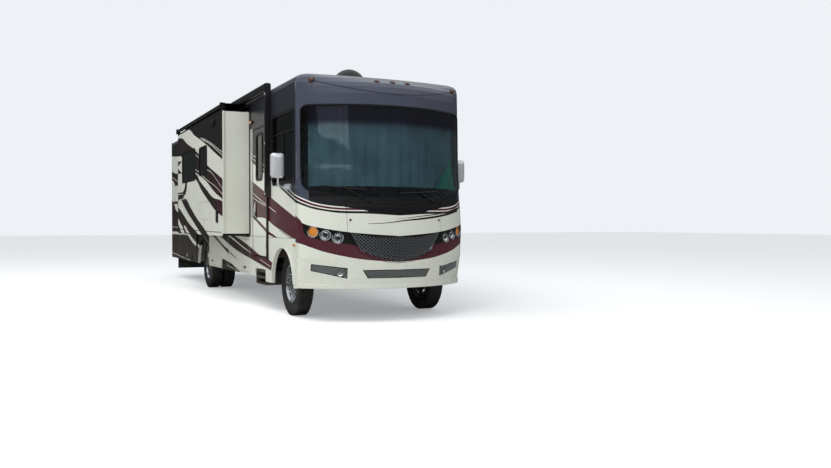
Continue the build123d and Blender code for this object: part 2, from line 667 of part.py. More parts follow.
def slide_glass(side):
    sign, _, _ = SLIDES[side]
    panes = [side_panel(w0, w1, b, t, WINDOW_R, SLIDE_REACH - 6 - GLASS_T, SLIDE_REACH - 6)
             for w0, w1, b, t in SLIDE_WINDOWS[side]]
    return on_side(solids_of(panes), sign)


TOPPER_Z = (3401.0, 3405.0)


def topper(side):
    """Awning fabric from the roof rail to the roller over the slide-out room."""
    sign, x0, x1 = SLIDES[side]
    sheet = box(x0 + 20, x1 - 20, HALF_WIDTH + 2, 1742, *TOPPER_Z)
    return on_side(sheet, sign)


# Doors

DOOR_HINGE = (DOOR_X[1] - 8, -HALF_WIDTH - 8)


def entry_door():
    """Entry door with its window, handle and hinge barrels at the front edge."""
    g = DOOR_GAP
    panel = box(DOOR_X[0] + g, DOOR_X[1] - g, -HALF_WIDTH, -HALF_WIDTH + WALL_T, DOOR_Z[0] + g, DOOR_Z[1] - g)
    x0, x1, z0, z1 = DOOR_WINDOW
    panel -= side_panel(x0, x1, z0, z1, WINDOW_R, -1400, -1200)
    panel += box(DOOR_X[0] + 40, DOOR_X[0] + 150, -HALF_WIDTH - 22, -HALF_WIDTH, 1560, 1720)
    for z in (1050, 1850, 2650):
        panel += rod((*DOOR_HINGE, z - 50), (*DOOR_HINGE, z + 50), 7)
        panel += box(DOOR_HINGE[0] - 40, DOOR_X[1] - DOOR_GAP - 1, -HALF_WIDTH - 8, -HALF_WIDTH, z - 50, z + 50)
    return panel


def bay_door(sign, x0, x1):
    """Storage bay door hinged along its top edge, with a latch handle."""
    g = DOOR_GAP
    y = HALF_WIDTH
    panel = box(x0 + g, x1 - g, y - BAY_DOOR_T, y, BAY_DOOR_Z[0] + g, BAY_DOOR_Z[1] - g)
    panel += box((x0 + x1) / 2 - 60, (x0 + x1) / 2 + 60, y, y + 12, BAY_DOOR_Z[0] + 60, BAY_DOOR_Z[0] + 120)
    return on_side(panel, sign)


# Fittings

def entry_step():
    """Folding step in its travelling place under the door."""
    x0, x1 = STEP_X
    step = box(x0, x1, -1285, -900, STEP_Z[1] - 30, STEP_Z[1])
    step += box(x0, x1, -1285, -950, STEP_Z[0], STEP_Z[0] + 30)
    step += box(x0, x1, -1285, -980, STEP_Z[0] + 100, STEP_Z[0] + 130)
    for x in (x0, x1 - 15):
        step += box(x, x + 15, -1285, -900, STEP_Z[0], STEP_Z[1])
    step += box(x0, x1, -1000, -900, STEP_Z[1], DOOR_Z[0] - 20)
    return step


def mirrors():
    head = box(4680, 4780, 1385, 1580, 2010, 2330)
    head = fillet(head.edges(), 30)
    arm = rod((4730, 1470, 2030), (4730, 1470, 1960), 14) + rod((4730, 1475, 1965), (4645, 1312, 1920), 12)
    base = box(4560, 4720, HALF_WIDTH, HALF_WIDTH + 25, 1860, 1980)
    return solids_of(both(head + arm + base))


WIPERS = (                       # blade from (Y, Z) to (Y, Z), pivot (Y, Z)
    ((-1040.0, 1900.0), (-440.0, 1840.0), (-420.0, 1676.0)),
    ((0.0, 1800.0), (660.0, 1840.0), (600.0, 1690.0)),
)
BLADE_OUT = 22.0                 # middle of the blade's bar from the glass


def wipers():
    """Two wiper arms with blades resting low on the glass."""
    arms = []
    for (y0, z0), (y1, z1), (pivot_y, pivot_z) in WIPERS:
        points = []
        for t in (0.0, 0.5, 1.0):
            y, z = y0 + (y1 - y0) * t, z0 + (z1 - z0) * t
            x, turn = nose_normal(y, z)
            a = math.radians(turn)
            points.append((x + BLADE_OUT * math.cos(a), y + BLADE_OUT * math.sin(a), z))
        blade = rod(points[0], points[1], 8) + rod(points[1], points[2], 8)
        x, _ = nose_normal(pivot_y, pivot_z)
        arm = rod((x + 20, pivot_y, pivot_z), (points[1][0] + 10, *points[1][1:]), 7)
        boss = rod((x - 20, pivot_y, pivot_z), (x + 28, pivot_y, pivot_z), 14)
        arms.append(blade + arm + (boss - cap_solid(CAP_SPLIT_Z, 1750.0, 0.0, CAP_SEAM_X)))
    return solids_of(arms)


STEER_WHEEL = (4620.0, 600.0, 1720.0)
COLUMN_FOOT = (4920.0, 600.0, 1585.0)
COLUMN_R = 32.0


def dashboard():
    """Instrument panel with its binnacle, bulkhead and the steering wheel on its column."""
    shelf = cap_solid(CAP_SPLIT_Z, 1560.0, 110.0, 4960.0)
    shelf += box(4960, 5010, -HALF_WIDTH + WALL_T + 5, HALF_WIDTH - WALL_T - 5, BELT_Z, 1560)
    shelf += box(4850, 5100, 300, 900, 1540, 1680)
    return shelf + steering_wheel()


def steering_wheel():
    """Rim, boss, spokes and column, tilted to the driver."""
    tilt = Plane(origin=STEER_WHEEL, x_dir=(0, 1, 0), z_dir=(-0.45, 0, 0.9))
    ring = tilt * Torus(215, 16)
    hub_part = tilt * Cylinder(55, 40)
    spokes = tilt * Box(420, 40, 16)
    column = rod(STEER_WHEEL, COLUMN_FOOT, COLUMN_R)
    return ring + hub_part + spokes + column


def cab_seats():
    seats = []
    for y in (-620.0, 600.0):
        base = box(3880, 4380, y - 200, y + 200, BELT_Z, 1450)
        cushion = box(3860, 4400, y - 270, y + 270, 1450, 1600)
        back = box(3800, 3960, y - 270, y + 270, 1600, 2330)
        seats.append(base + cushion + back)
    return solids_of(seats)


AC_X = (-3000.0, 1500.0)


def air_conditioners():
    units = []
    for x in AC_X:
        unit = box(x - 480, x + 480, -330, 330, ROOF_TOP, 3800)
        unit = chamfer(unit.faces().sort_by(Axis.Z)[-1].edges(), 60)
        units.append(unit)
    return solids_of(units)


DOME = (4120.0, -150.0, 250.0, 290.0)    # X, Y, radius, height above the roof


def satellite_dome():
    x, y, radius, height = DOME
    skirt_h = 110.0
    centre = (radius ** 2 + skirt_h ** 2 - height ** 2) / (2 * (skirt_h - height))
    mid = (height - centre) / math.sqrt(2)
    with BuildSketch(Plane.XZ) as sketch:
        with BuildLine():
            Polyline((0, 0), (radius, 0), (radius, skirt_h))
            ThreePointArc((radius, skirt_h), (mid, centre + mid), (0, height))
            Line((0, height), (0, 0))
        make_face()
    return Pos(x, y, ROOF_TOP) * revolve(sketch.sketch, Axis.Z)


AWNING_X = (-1700.0, 3737.0)
AWNING_OUT = 81.0
ARM_W = 100.0


def awning():
    """Patio awning folded against the coach: roller case, two flat arms and their struts."""
    y0, y1 = -HALF_WIDTH - AWNING_OUT, -HALF_WIDTH
    case = box(AWNING_X[0], AWNING_X[1], y0 - 25, y1, 3425, 3550)
    case = fillet(case.edges().filter_by(Axis.X), 30)
    for x in (AWNING_X[1] - ARM_W,):
        case += box(x, x + ARM_W, y0, y1, 1790, 3430)
        case += box(x - 90, x - 50, y1 - 27, y1, 810, 1900)
        case += box(x - 90, x, y1 - 27, y1, 1860, 1900)
    return case


MARKER_X = 5200.0
MARKER_Z = 3485.0
CLEARANCE_LAMP_Y = (-1080.0, -240.0, 0.0, 240.0, 1080.0)


def marker_lamps():
    """Amber lamps: the five clearance lamps of the brow and the two turn lamps."""
    y, z, radius = TURN_LAMP
    lamps = both(lamp_plug(y, z, radius, -4, 38))
    for y in CLEARANCE_LAMP_Y:
        lamp = Pos(MARKER_X, y, MARKER_Z) * Cylinder(32, 60)
        lamps.append(lamp - cap_solid(CAP_SPLIT_Z, ROOF_TOP, 0.0, CAP_SEAM_X))
    return solids_of(lamps)


def tail_lamps():
    cluster = box(TAIL_X - 12, TAIL_X, 1075, 1180, 1150, 1700)
    return solids_of(both(cluster))


LADDER_OUT = 46.0                # ladder rails from the rear cap
LADDER_R = 14.0


def rear_ladder():
    """Ladder on the rear cap, standing off on feet."""
    x = TAIL_X - LADDER_OUT
    parts = None
    for y in (-1000.0, -680.0):
        rail = rod((x, y, 1300), (x, y, 3440), LADDER_R)
        for z in (1400, 2400, 3350):
            rail += rod((x, y, z), (TAIL_X, y, z), 10)
        parts = rail if parts is None else parts + rail
    for k in range(7):
        z = 1450 + 300 * k
        parts += rod((x, -1000, z), (x, -680, z), 12)
    return parts


def rock_guard():
    flap = box(-5470, -5458, -1150, 1150, 215, 500)
    half = RECEIVER / 2 + 5
    flap -= box(-5471, -5457, -half, half, HITCH_Z - half, HITCH_Z + half)
    for sign in (-1, 1):
        flap += box(-5458, HITCH_X[1] - 60, sign * 300, sign * 400, 440, RAIL_Z[0])
    return flap


def fuel_tank():
    tank = box(-4300, -3100, -340, 340, 480, 700)
    tank = fillet(tank.edges().filter_by(Axis.X), 40)
    return tank + box(-4200, -4150, -392, 392, 700, 760) + box(-3250, -3200, -392, 392, 700, 760)


def exhaust():
    muffler = rod((700, 250, 560), (1500, 250, 560), 120)
    pipe = rod((1500, 250, 560), (3600, 250, 560), 38)
    tail = rod((-600, 250, 560), (700, 250, 560), 38)
    for x in (400.0, 1700.0):
        pipe += box(x - 15, x + 15, 235, 265, 560, CROSS_Z[0])
    return muffler + pipe + tail


def front_lamps():
    lamps = [lamp_plug(y, z, radius, -4, 38) for y, z, radius in HEADLAMPS]
    fog = cap_shell(590.0, 830.0, 6, 38) & fog_cutter()
    return solids_of(both(solids_of(lamps, fog)))


def door_glass():
    x0, x1, z0, z1 = DOOR_WINDOW
    return side_panel(x0, x1, z0, z1, WINDOW_R, -HALF_WIDTH + 6, -HALF_WIDTH + 6 + GLASS_T)


def build_nodes():
    nodes = {
        "frame_rails": solids_of(both(channel_rail())),
        "cross_members": cross_members(),
        "hitch_receiver": hitch_receiver(),
        "engine_block": engine_block(),
        "front_axle": front_axle(),
        "rear_axle": rear_axle(),
        "fuel_tank": fuel_tank(),
        "exhaust": exhaust(),
        "floor_deck": floor_deck(),
        "storage_bays": storage_bays(),
        "skirts": solids_of(skirt("curb", -1), skirt("road", 1)),
        "side_walls": solids_of(wall("curb", -1), wall("road", 1)),
        "side_glass": side_glass(),
        "roof": roof(),
        "rear_cap": rear_cap(),
        "front_fascia": front_fascia(),
        "upper_cap": upper_cap(),
        "windshield": windshield(),
        "front_hood": hood(),
        "hood_grille": hood_grille(),
        "front_lamps": front_lamps(),
        "marker_lamps": marker_lamps(),
        "tail_lamps": tail_lamps(),
        "mirrors": mirrors(),
        "wipers": wipers(),
        "dashboard": dashboard(),
        "cab_seats": cab_seats(),
        "air_conditioners": air_conditioners(),
        "satellite_dome": satellite_dome(),
        "awning": awning(),
        "entry_step": entry_step(),
        "rear_ladder": rear_ladder(),
        "rock_guard": rock_guard(),
        "entry_door": entry_door(),
        "entry_door_glass": door_glass(),
    }
    for side, sign in (("curb", -1), ("road", 1)):
        nodes[f"slide_room_{side}"] = slide_room(side)
        nodes[f"slide_glass_{side}"] = slide_glass(side)
        nodes[f"topper_{side}"] = topper(side)
        for number, (x0, x1) in enumerate(BAY_DOORS, start=1):
            nodes[f"bay_door_{side}_{number}"] = bay_door(sign, x0, x1)
        nodes[f"knuckle_{side}"] = knuckle(sign)
        front_tyre = at_wheel(tyre(FRONT_TYRE_Y), FRONT_AXLE_X)
        front_wheel = at_wheel(front_rim(), FRONT_AXLE_X)
        rear_tyres = solids_of([at_wheel(tyre(y), REAR_AXLE_X) for y in DUAL_Y])
        rear_wheels = at_wheel(rear_rims(), REAR_AXLE_X)
        nodes[f"front_tyre_{side}"] = on_side(front_tyre, sign)
        nodes[f"front_rim_{side}"] = on_side(front_wheel, sign)
        nodes[f"rear_tyres_{side}"] = on_side(rear_tyres, sign)
        nodes[f"rear_rims_{side}"] = on_side(rear_wheels, sign)
    return nodes


def write_nodes():
    os.makedirs("parts", exist_ok=True)
    for name, shape in build_nodes().items():
        export_step(shape, f"parts/{name}.step")


write_nodes()
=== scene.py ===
# %% [markdown]
# # A motorhome, dressed in Blender
# The real object is a class A coach: a flat-sided body on a truck chassis, a moulded
# front cap with a wrap-round windshield, and painted swooshes that run from tail to nose.
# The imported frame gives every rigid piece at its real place. This script gives them their
# finishes and adds the pieces that a CAD model leaves out, such as tread, mesh, curtains
# and trim. Everything is in metres: +X forward, +Y to the driver's side, +Z up.

# %% Load the frame
import json
import math

import bpy
import bmesh
import numpy as np
from mathutils import Matrix, Vector
from mathutils.bvhtree import BVHTree


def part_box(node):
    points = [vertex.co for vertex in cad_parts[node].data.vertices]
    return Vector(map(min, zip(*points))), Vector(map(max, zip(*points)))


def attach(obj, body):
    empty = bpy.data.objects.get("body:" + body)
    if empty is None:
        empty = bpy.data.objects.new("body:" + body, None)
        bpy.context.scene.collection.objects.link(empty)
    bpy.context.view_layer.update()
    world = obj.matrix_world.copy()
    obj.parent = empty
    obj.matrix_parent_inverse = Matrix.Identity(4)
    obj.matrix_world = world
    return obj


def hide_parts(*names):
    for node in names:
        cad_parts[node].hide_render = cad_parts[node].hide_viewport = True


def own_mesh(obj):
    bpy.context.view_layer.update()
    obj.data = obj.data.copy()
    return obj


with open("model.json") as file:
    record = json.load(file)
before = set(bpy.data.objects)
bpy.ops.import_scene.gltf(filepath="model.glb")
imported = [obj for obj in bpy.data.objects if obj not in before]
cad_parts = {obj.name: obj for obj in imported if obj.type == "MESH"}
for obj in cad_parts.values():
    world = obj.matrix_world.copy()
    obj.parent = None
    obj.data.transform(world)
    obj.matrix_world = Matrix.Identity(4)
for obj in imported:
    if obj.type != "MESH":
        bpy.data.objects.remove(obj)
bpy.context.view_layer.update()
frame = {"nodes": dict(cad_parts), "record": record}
SIDES = (("curb", -1), ("road", 1))

# %% [markdown]
# ## Camera
# The photograph was taken standing in front of the kerb-side corner, at eye height. A
# pinhole camera fitted to the wheels, walls and doors gives the place and the lens.

# %% Camera
CAMERA_PLACE = (15.719, -4.715, 1.383)
CAMERA_TURN = (89.206, 0.0, 63.713)      # degrees
LENS_MM, SENSOR_MM = 34.19, 36.0

camera_data = bpy.data.cameras.new("camera")
camera_data.lens = LENS_MM
camera_data.sensor_width = SENSOR_MM
camera_data.sensor_fit = "HORIZONTAL"
camera_data.clip_end = 300.0
camera = bpy.data.objects.new("camera", camera_data)
camera.location = CAMERA_PLACE
camera.rotation_euler = [math.radians(a) for a in CAMERA_TURN]
bpy.context.scene.collection.objects.link(camera)
bpy.context.scene.camera = camera
bpy.context.scene.view_settings.view_transform = "Standard"
print("camera:", LENS_MM, "mm lens at", CAMERA_PLACE)

# %% [markdown]
# ## Shader helper
# A shader tree is a formula. The helper below adds nodes to one tree and joins them, so
# that a pattern can be written as sums and comparisons and read from left to right.


# %% Colour helper
def srgb(r, g, b):
    """A colour given as 0 to 255 screen values, as linear light for a shader."""
    def line(c):
        c /= 255.0
        return c / 12.92 if c <= 0.04045 else ((c + 0.055) / 1.055) ** 2.4
    return (line(r), line(g), line(b), 1.0)


# %% Shader tree helper
class Tree:
    """Adds nodes to one shader tree and joins them."""

    def __init__(self, tree):
        self.tree = tree

    def add(self, kind, inputs=(), **settings):
        node = self.tree.nodes.new(kind)
        for key, value in settings.items():
            setattr(node, key, value)
        for key, value in dict(inputs).items():
            self.put(node.inputs[key], value)
        return node

    def put(self, socket, value):
        if isinstance(value, bpy.types.NodeSocket):
            self.tree.links.new(value, socket)
        else:
            socket.default_value = value

    def math(self, operation, *values, clamp=False):
        node = self.add("ShaderNodeMath", operation=operation, use_clamp=clamp)
        for socket, value in zip(node.inputs, values):
            self.put(socket, value)
        return node.outputs[0]

    def below(self, value, limit):
        return self.math("LESS_THAN", value, limit)

    def above(self, value, limit):
        return self.math("GREATER_THAN", value, limit)

    def every(self, mask, *others):
        """Where all the masks hold."""
        for other in others:
            mask = self.math("MULTIPLY", mask, other)
        return mask

    def mix(self, mask, a, b):
        return self.add("ShaderNodeMix", {0: mask, 6: a, 7: b}, data_type="RGBA").outputs[2]

    def ramp(self, value, low, high, out_low=0.0, out_high=1.0):
        return self.add("ShaderNodeMapRange", {"Value": value, "From Min": low, "From Max": high,
                                               "To Min": out_low, "To Max": out_high}).outputs[0]

    def noise(self, vector, scale, detail=3.0):
        node = self.add("ShaderNodeTexNoise", {"Vector": vector, "Scale": scale, "Detail": detail})
        return node.outputs["Fac"]

    def place(self):
        """Object coordinates as a vector and as X, Y and Z."""
        vector = self.add("ShaderNodeTexCoord").outputs["Object"]
        return vector, *self.add("ShaderNodeSeparateXYZ", {0: vector}).outputs

    def facing(self):
        """The direction that the surface faces, as X, Y and Z."""
        normal = self.add("ShaderNodeNewGeometry").outputs["Normal"]
        return self.add("ShaderNodeSeparateXYZ", {0: normal}).outputs

    def edge(self, x, points):
        """Height of a painted edge over x: a smooth curve through a few (x, height) points."""
        x0, x1 = points[0][0], points[-1][0]
        z0 = min(p[1] for p in points)
        rise = max(max(p[1] for p in points) - z0, 1e-3)
        node = self.add("ShaderNodeFloatCurve")
        curve = node.mapping.curves[0]
        while len(curve.points) < len(points):
            curve.points.new(0.5, 0.5)
        for point, (px, pz) in zip(curve.points, points):
            point.location = ((px - x0) / (x1 - x0), (pz - z0) / rise)
            point.handle_type = "AUTO_CLAMPED"
        node.mapping.update()
        self.put(node.inputs["Value"], self.ramp(x, x0, x1))
        return self.math("MULTIPLY_ADD", node.outputs[0], rise, z0)


# %% Shader group helpers
def group(name, inputs, output, kind):
    """A new shader node group: its tree, its helper, its given values and its result's socket."""
    tree = bpy.data.node_groups.new(name, "ShaderNodeTree")
    for socket in inputs:
        tree.interface.new_socket(socket, in_out="INPUT", socket_type="NodeSocketFloat")
    tree.interface.new_socket(output, in_out="OUTPUT", socket_type=kind)
    nodes = Tree(tree)
    return tree, nodes, nodes.add("NodeGroupInput").outputs, nodes.add("NodeGroupOutput").inputs[output]


def tone_group(name):
    """A group that puts out one colour, worked out from the place on the coach."""
    tree, nodes, _, result = group(name, (), "Colour", "NodeSocketColor")
    return tree, nodes, result


# %% [markdown]
# ## The painted swooshes of the sides
# On the real coach the stripes are sprayed through masks cut to long smooth curves. Each
# edge is therefore one curve over X, drawn through a few points. The paint is laid from
# the roof down: below each edge comes the next colour, and where two edges meet the
# stripe between them ends in a point. Pinstripes are thin lines that follow such a curve.

# %% Paint colours
CREAM = srgb(214, 216, 204)
PALE = srgb(226, 226, 216)
NIGHT = srgb(28, 25, 25)
DUSK = srgb(40, 42, 50)
BROWN = srgb(42, 30, 28)
MAROON = srgb(78, 32, 44)
SLATE = srgb(66, 70, 84)
BLACK = srgb(18, 18, 20)
MAROON_FROM, MAROON_TO = 1.6, 3.2       # X over which the brown stripes turn maroon
DUSK_FROM, DUSK_TO = 2.2, 3.2           # X over which the black wall turns to the cap's grey
print("brown turns to maroon from X", MAROON_FROM, "to", MAROON_TO)

# %% Edges of the sides: below each edge comes the named paint, (X, Z)
WALL_EDGES = (
    ("cream", ((-5.66, 3.13), (-4.55, 3.05), (-3.2, 3.14), (-1.9, 3.31), (-0.87, 3.30), (0.04, 3.075),
               (0.95, 2.855), (1.86, 2.598), (2.70, 2.37), (3.64, 2.086), (4.48, 1.825), (5.04, 1.65))),
    ("dark", ((-5.66, 2.74), (-4.55, 2.62), (-3.2, 2.80), (-1.9, 3.20), (-1.47, 3.177), (-0.87, 3.018),
              (0.04, 2.80), (1.16, 2.44), (2.01, 2.223), (2.94, 1.995), (4.03, 1.70), (5.32, 1.37))),
    ("cream", ((-5.66, 2.50), (-5.36, 2.47), (-5.05, 2.34), (-4.6, 2.12), (-3.9, 2.05), (-2.9, 2.45),
               (-1.87, 2.82), (-1.37, 2.77), (0.01, 2.38), (0.95, 2.177), (1.86, 1.905), (2.405, 1.77),
               (2.71, 1.47), (3.03, 1.475), (4.03, 1.314), (5.32, 1.07))),
    ("dark", ((-0.40, 2.32), (0.01, 2.336), (0.495, 2.177), (1.10, 1.995), (1.708, 1.825), (2.31, 1.763),
              (2.5, 1.70), (2.71, 1.47), (4.03, 1.30), (5.32, 1.06))),
    ("cream", ((-0.40, 2.32), (0.10, 2.223), (0.647, 1.995), (1.253, 1.79), (1.86, 1.598), (2.405, 1.495),
               (2.71, 1.47), (3.03, 1.475), (3.575, 1.393), (4.48, 1.21), (5.32, 1.06))),
    ("dark", ((-1.35, 1.93), (-0.93, 1.87), (-0.413, 1.677), (0.193, 1.473), (0.8, 1.302), (1.10, 1.21),
              (1.6, 1.05))),
    ("cream", ((-1.51, 1.87), (-0.93, 1.643), (-0.32, 1.45), (0.283, 1.268), (0.526, 1.20), (0.9, 1.05))),
    ("dark", ((-5.66, 2.05), (-5.2, 1.86), (-4.6, 1.65), (-3.9, 1.62), (-2.9, 1.95), (-2.08, 1.78),
              (-1.17, 1.53), (-0.565, 1.36), (0.04, 1.234), (0.5, 1.12))),
)
# Thin painted shapes: paint, upper edge, lower edge
WALL_SWOOSHES = (
    ("dark", ((-2.0, 2.05), (-1.5, 2.03), (-1.22, 2.06), (-1.09, 2.14), (-1.03, 2.24), (-1.02, 2.6)),
     ((-2.0, 1.90), (-1.5, 1.91), (-1.1, 1.96), (-0.92, 2.04), (-0.84, 2.16), (-0.80, 2.6))),
    ("dark", ((-1.92, 2.71), (-1.40, 2.69)), ((-1.92, 2.60), (-1.40, 2.685))),
    ("dark", ((-1.92, 2.57), (-1.40, 2.43)), ((-1.92, 2.45), (-1.40, 2.425))),
    ("dark", ((-5.2, 2.02), (-4.45, 1.78)), ((-5.2, 2.01), (-4.45, 1.73))),
    ("dark", ((2.73, 1.49), (3.12, 1.39), (3.575, 1.26), (4.03, 1.17), (4.71, 1.007)),
     ((2.73, 1.45), (3.12, 1.33), (3.575, 1.21), (4.03, 1.14), (4.71, 1.005))),
    ("cream", ((-1.96, 1.507), (-1.55, 1.36), (-1.3, 1.26), (-1.15, 1.18)),
     ((-1.99, 1.42), (-1.63, 1.24), (-1.50, 1.18), (-1.15, 1.17))),
    ("cream", ((-1.2, 1.345), (-0.87, 1.27), (-0.62, 1.18)), ((-1.2, 1.30), (-0.95, 1.20), (-0.62, 1.175))),
)
# Pinstripes: paint, width, centre line
WALL_LINES = (
    ("pale", 0.012, ((0.556, 2.984), (0.95, 2.923), (1.556, 2.79), (2.16, 2.632), (2.87, 2.46), (3.64, 2.19),
                     (4.48, 1.93), (5.04, 1.745))),
    ("pale", 0.012, ((0.738, 2.94), (1.405, 2.80), (2.01, 2.63), (2.87, 2.39), (3.64, 2.12), (4.48, 1.87),
                     (5.04, 1.70))),
    ("pale", 0.010, ((1.162, 2.348), (1.405, 2.31), (2.01, 2.11), (2.405, 1.961), (3.12, 1.757),
                     (3.98, 1.55))),
    ("pale", 0.010, ((0.708, 2.268), (1.253, 2.143), (1.86, 2.018), (2.405, 1.866), (3.12, 1.71),
                     (3.575, 1.632))),
    ("pale", 0.012, ((0.06, 2.71), (0.43, 2.62))),
    ("pale", 0.012, ((0.06, 2.42), (0.43, 2.35))),
    ("pale", 0.012, ((-1.98, 2.00), (-1.3, 1.99))),
    ("pale", 0.012, ((-1.7, 1.88), (-1.0, 1.89))),
    ("pale", 0.014, ((-5.66, 2.60), (-4.6, 2.42))),
    ("pale", 0.010, ((-5.66, 1.28), (-3.0, 1.28))),
    ("brown", 0.012, ((-1.9, 1.25), (2.3, 1.225))),
)
print("wall:", len(WALL_EDGES), "edges,", len(WALL_SWOOSHES), "thin shapes,", len(WALL_LINES), "pinstripes")

# %% Edges of the skirt, below the rub rail, (X, Z)
SKIRT_EDGES = (
    ("cream", ((-3.3, 1.20), (-2.46, 0.98), (-1.72, 0.873), (-0.88, 0.745), (-0.2, 0.623), (0.32, 0.545),
               (0.96, 0.455), (1.4, 0.40))),
    ("dark", ((-3.3, 1.10), (-2.46, 0.89), (-1.72, 0.81), (-0.88, 0.664), (-0.2, 0.573), (0.72, 0.455),
              (1.4, 0.39))),
)
SKIRT_SWOOSHES = (
    ("cream", ((-0.88, 1.165), (-0.48, 1.08), (0.08, 0.964), (0.4, 0.864), (0.88, 0.755), (1.5, 0.66),
               (2.4, 0.60), (3.78, 0.56)),
     ((-0.88, 0.40), (3.78, 0.40))),
    ("cream", ((-1.08, 1.18), (-0.48, 1.12), (0.08, 1.02), (0.48, 0.92), (0.88, 0.80)),
     ((-1.08, 1.15), (-0.28, 0.964), (0.32, 0.864), (0.88, 0.755))),
    ("cream", ((-0.4, 1.19), (0.28, 1.155), (0.8, 1.16), (1.6, 1.16), (2.5, 1.16), (5.04, 1.16)),
     ((-0.4, 1.10), (0.32, 0.87), (0.88, 0.72), (1.6, 0.62), (2.5, 0.45), (5.04, 0.40))),
    ("dark", ((-0.36, 1.145), (0.16, 1.018), (0.48, 0.945), (0.88, 0.877)),
     ((-0.56, 1.136), (0.04, 1.0), (0.32, 0.93), (0.88, 0.80))),
    ("dark", ((0.96, 0.85), (1.52, 0.735)), ((0.96, 0.82), (1.52, 0.725))),
    ("dark", ((0.5, 1.19), (0.8, 1.145), (1.52, 1.027), (2.32, 0.90), (2.72, 0.86), (3.08, 0.83),
              (3.78, 0.76)),
     ((0.20, 1.12), (0.72, 1.018), (1.52, 0.89), (2.12, 0.818), (2.72, 0.755), (3.12, 0.71), (3.78, 0.64))),
    ("dark", ((1.24, 1.165), (1.84, 1.08), (2.64, 0.945), (3.08, 0.864), (3.4, 0.845), (3.78, 0.77)),
     ((1.0, 1.15), (1.92, 0.98), (2.62, 0.864), (3.08, 0.80), (3.4, 0.78), (3.78, 0.70))),
    ("dark", ((0.3, 0.70), (1.0, 0.64), (1.9, 0.48), (2.2, 0.42)), ((0.3, 0.40), (2.2, 0.40))),
)
SKIRT_LINES = (
    ("pale", 0.010, ((-1.44, 1.11), (-1.0, 0.964), (-0.56, 0.845), (-0.16, 0.755))),
    ("pale", 0.008, ((0.72, 0.59), (1.52, 0.527))),
    ("pale", 0.008, ((3.08, 0.79), (3.4, 0.745), (3.68, 0.70))),
    ("pale", 0.012, ((-5.6, 0.62), (-3.0, 0.52))),
)
print("skirt:", len(SKIRT_EDGES), "edges,", len(SKIRT_SWOOSHES), "thin shapes,",
      len(SKIRT_LINES), "pinstripes")

# %% Painting helper
def painted(nodes, x, z, colour, edges, swooshes, lines, paints):
    """Lays the edges, thin shapes and pinstripes of one face over each other."""
    def laid(colour, paint, inside, *curves):
        """The paint inside a form, as far along x as its curves reach."""
        ends = [x_end for curve in curves for x_end, _ in curve]
        low, high = min(ends), max(ends)
        reach = nodes.math("COMPARE", x, (low + high) / 2, (high - low) / 2)
        return nodes.mix(nodes.every(inside, reach), colour, paints[paint])

    for paint, points in edges:
        colour = nodes.mix(nodes.below(z, nodes.edge(x, points)), colour, paints[paint])
    for paint, upper, lower in swooshes:
        inside = nodes.every(nodes.below(z, nodes.edge(x, upper)), nodes.above(z, nodes.edge(x, lower)))
        colour = laid(colour, paint, inside, upper, lower)
    for paint, width, points in lines:
        inside = nodes.math("COMPARE", z, nodes.edge(x, points), width / 2)
        colour = laid(colour, paint, inside, points)
    return colour


# %% Side graphics as a node group
RAIL_Z, RAIL_HALF = 1.165, 0.01     # rub rail between the wall's paint and the skirt's
END_WALL = 0.7                  # a face that looks this much along X is a slide-out room's plain end wall
REAR_CAP_X = -5.3               # behind this the end faces are the rear cap's and keep their stripes
BRACKET_Z, BRACKET_Y = 3.268, 1.36      # the topper's brackets above a slide-out room are black
SILL_Z, SILL_Y = 1.205, 1.30            # and so is the rail under the room's end walls

side_group, nodes, result = tone_group("side_swooshes")
_, x, y, z = nodes.place()
outward = nodes.math("ABSOLUTE", y)
paints = {"cream": CREAM, "pale": PALE, "brown": BROWN,
          "dark": nodes.mix(nodes.ramp(x, MAROON_FROM, MAROON_TO), BROWN, MAROON)}
night = nodes.mix(nodes.ramp(x, DUSK_FROM, DUSK_TO), NIGHT, DUSK)
wall_paint = painted(nodes, x, z, night, WALL_EDGES, WALL_SWOOSHES, WALL_LINES, paints)
skirt_paint = painted(nodes, x, z, BLACK, SKIRT_EDGES, SKIRT_SWOOSHES, SKIRT_LINES, paints)
colour = nodes.mix(nodes.below(z, RAIL_Z), wall_paint, skirt_paint)
end_wall = nodes.above(nodes.math("ABSOLUTE", nodes.facing()[0]), END_WALL)
colour = nodes.mix(nodes.every(end_wall, nodes.above(x, REAR_CAP_X)), colour, CREAM)
bracket = nodes.every(nodes.above(z, BRACKET_Z), nodes.above(outward, BRACKET_Y))
colour = nodes.mix(bracket, colour, BLACK)
sill = nodes.every(nodes.below(z, SILL_Z), nodes.above(z, RAIL_Z - RAIL_HALF), nodes.above(outward, SILL_Y),
                   end_wall)
nodes.put(result, nodes.mix(sill, colour, BLACK))
print("side swooshes:", len(side_group.nodes), "nodes")

# %% [markdown]
# ## The front cap's paint
# The stripes of both sides meet on the nose. Along the cap they are drawn over the
# distance from the middle, measured round the corner, so one table serves both halves.

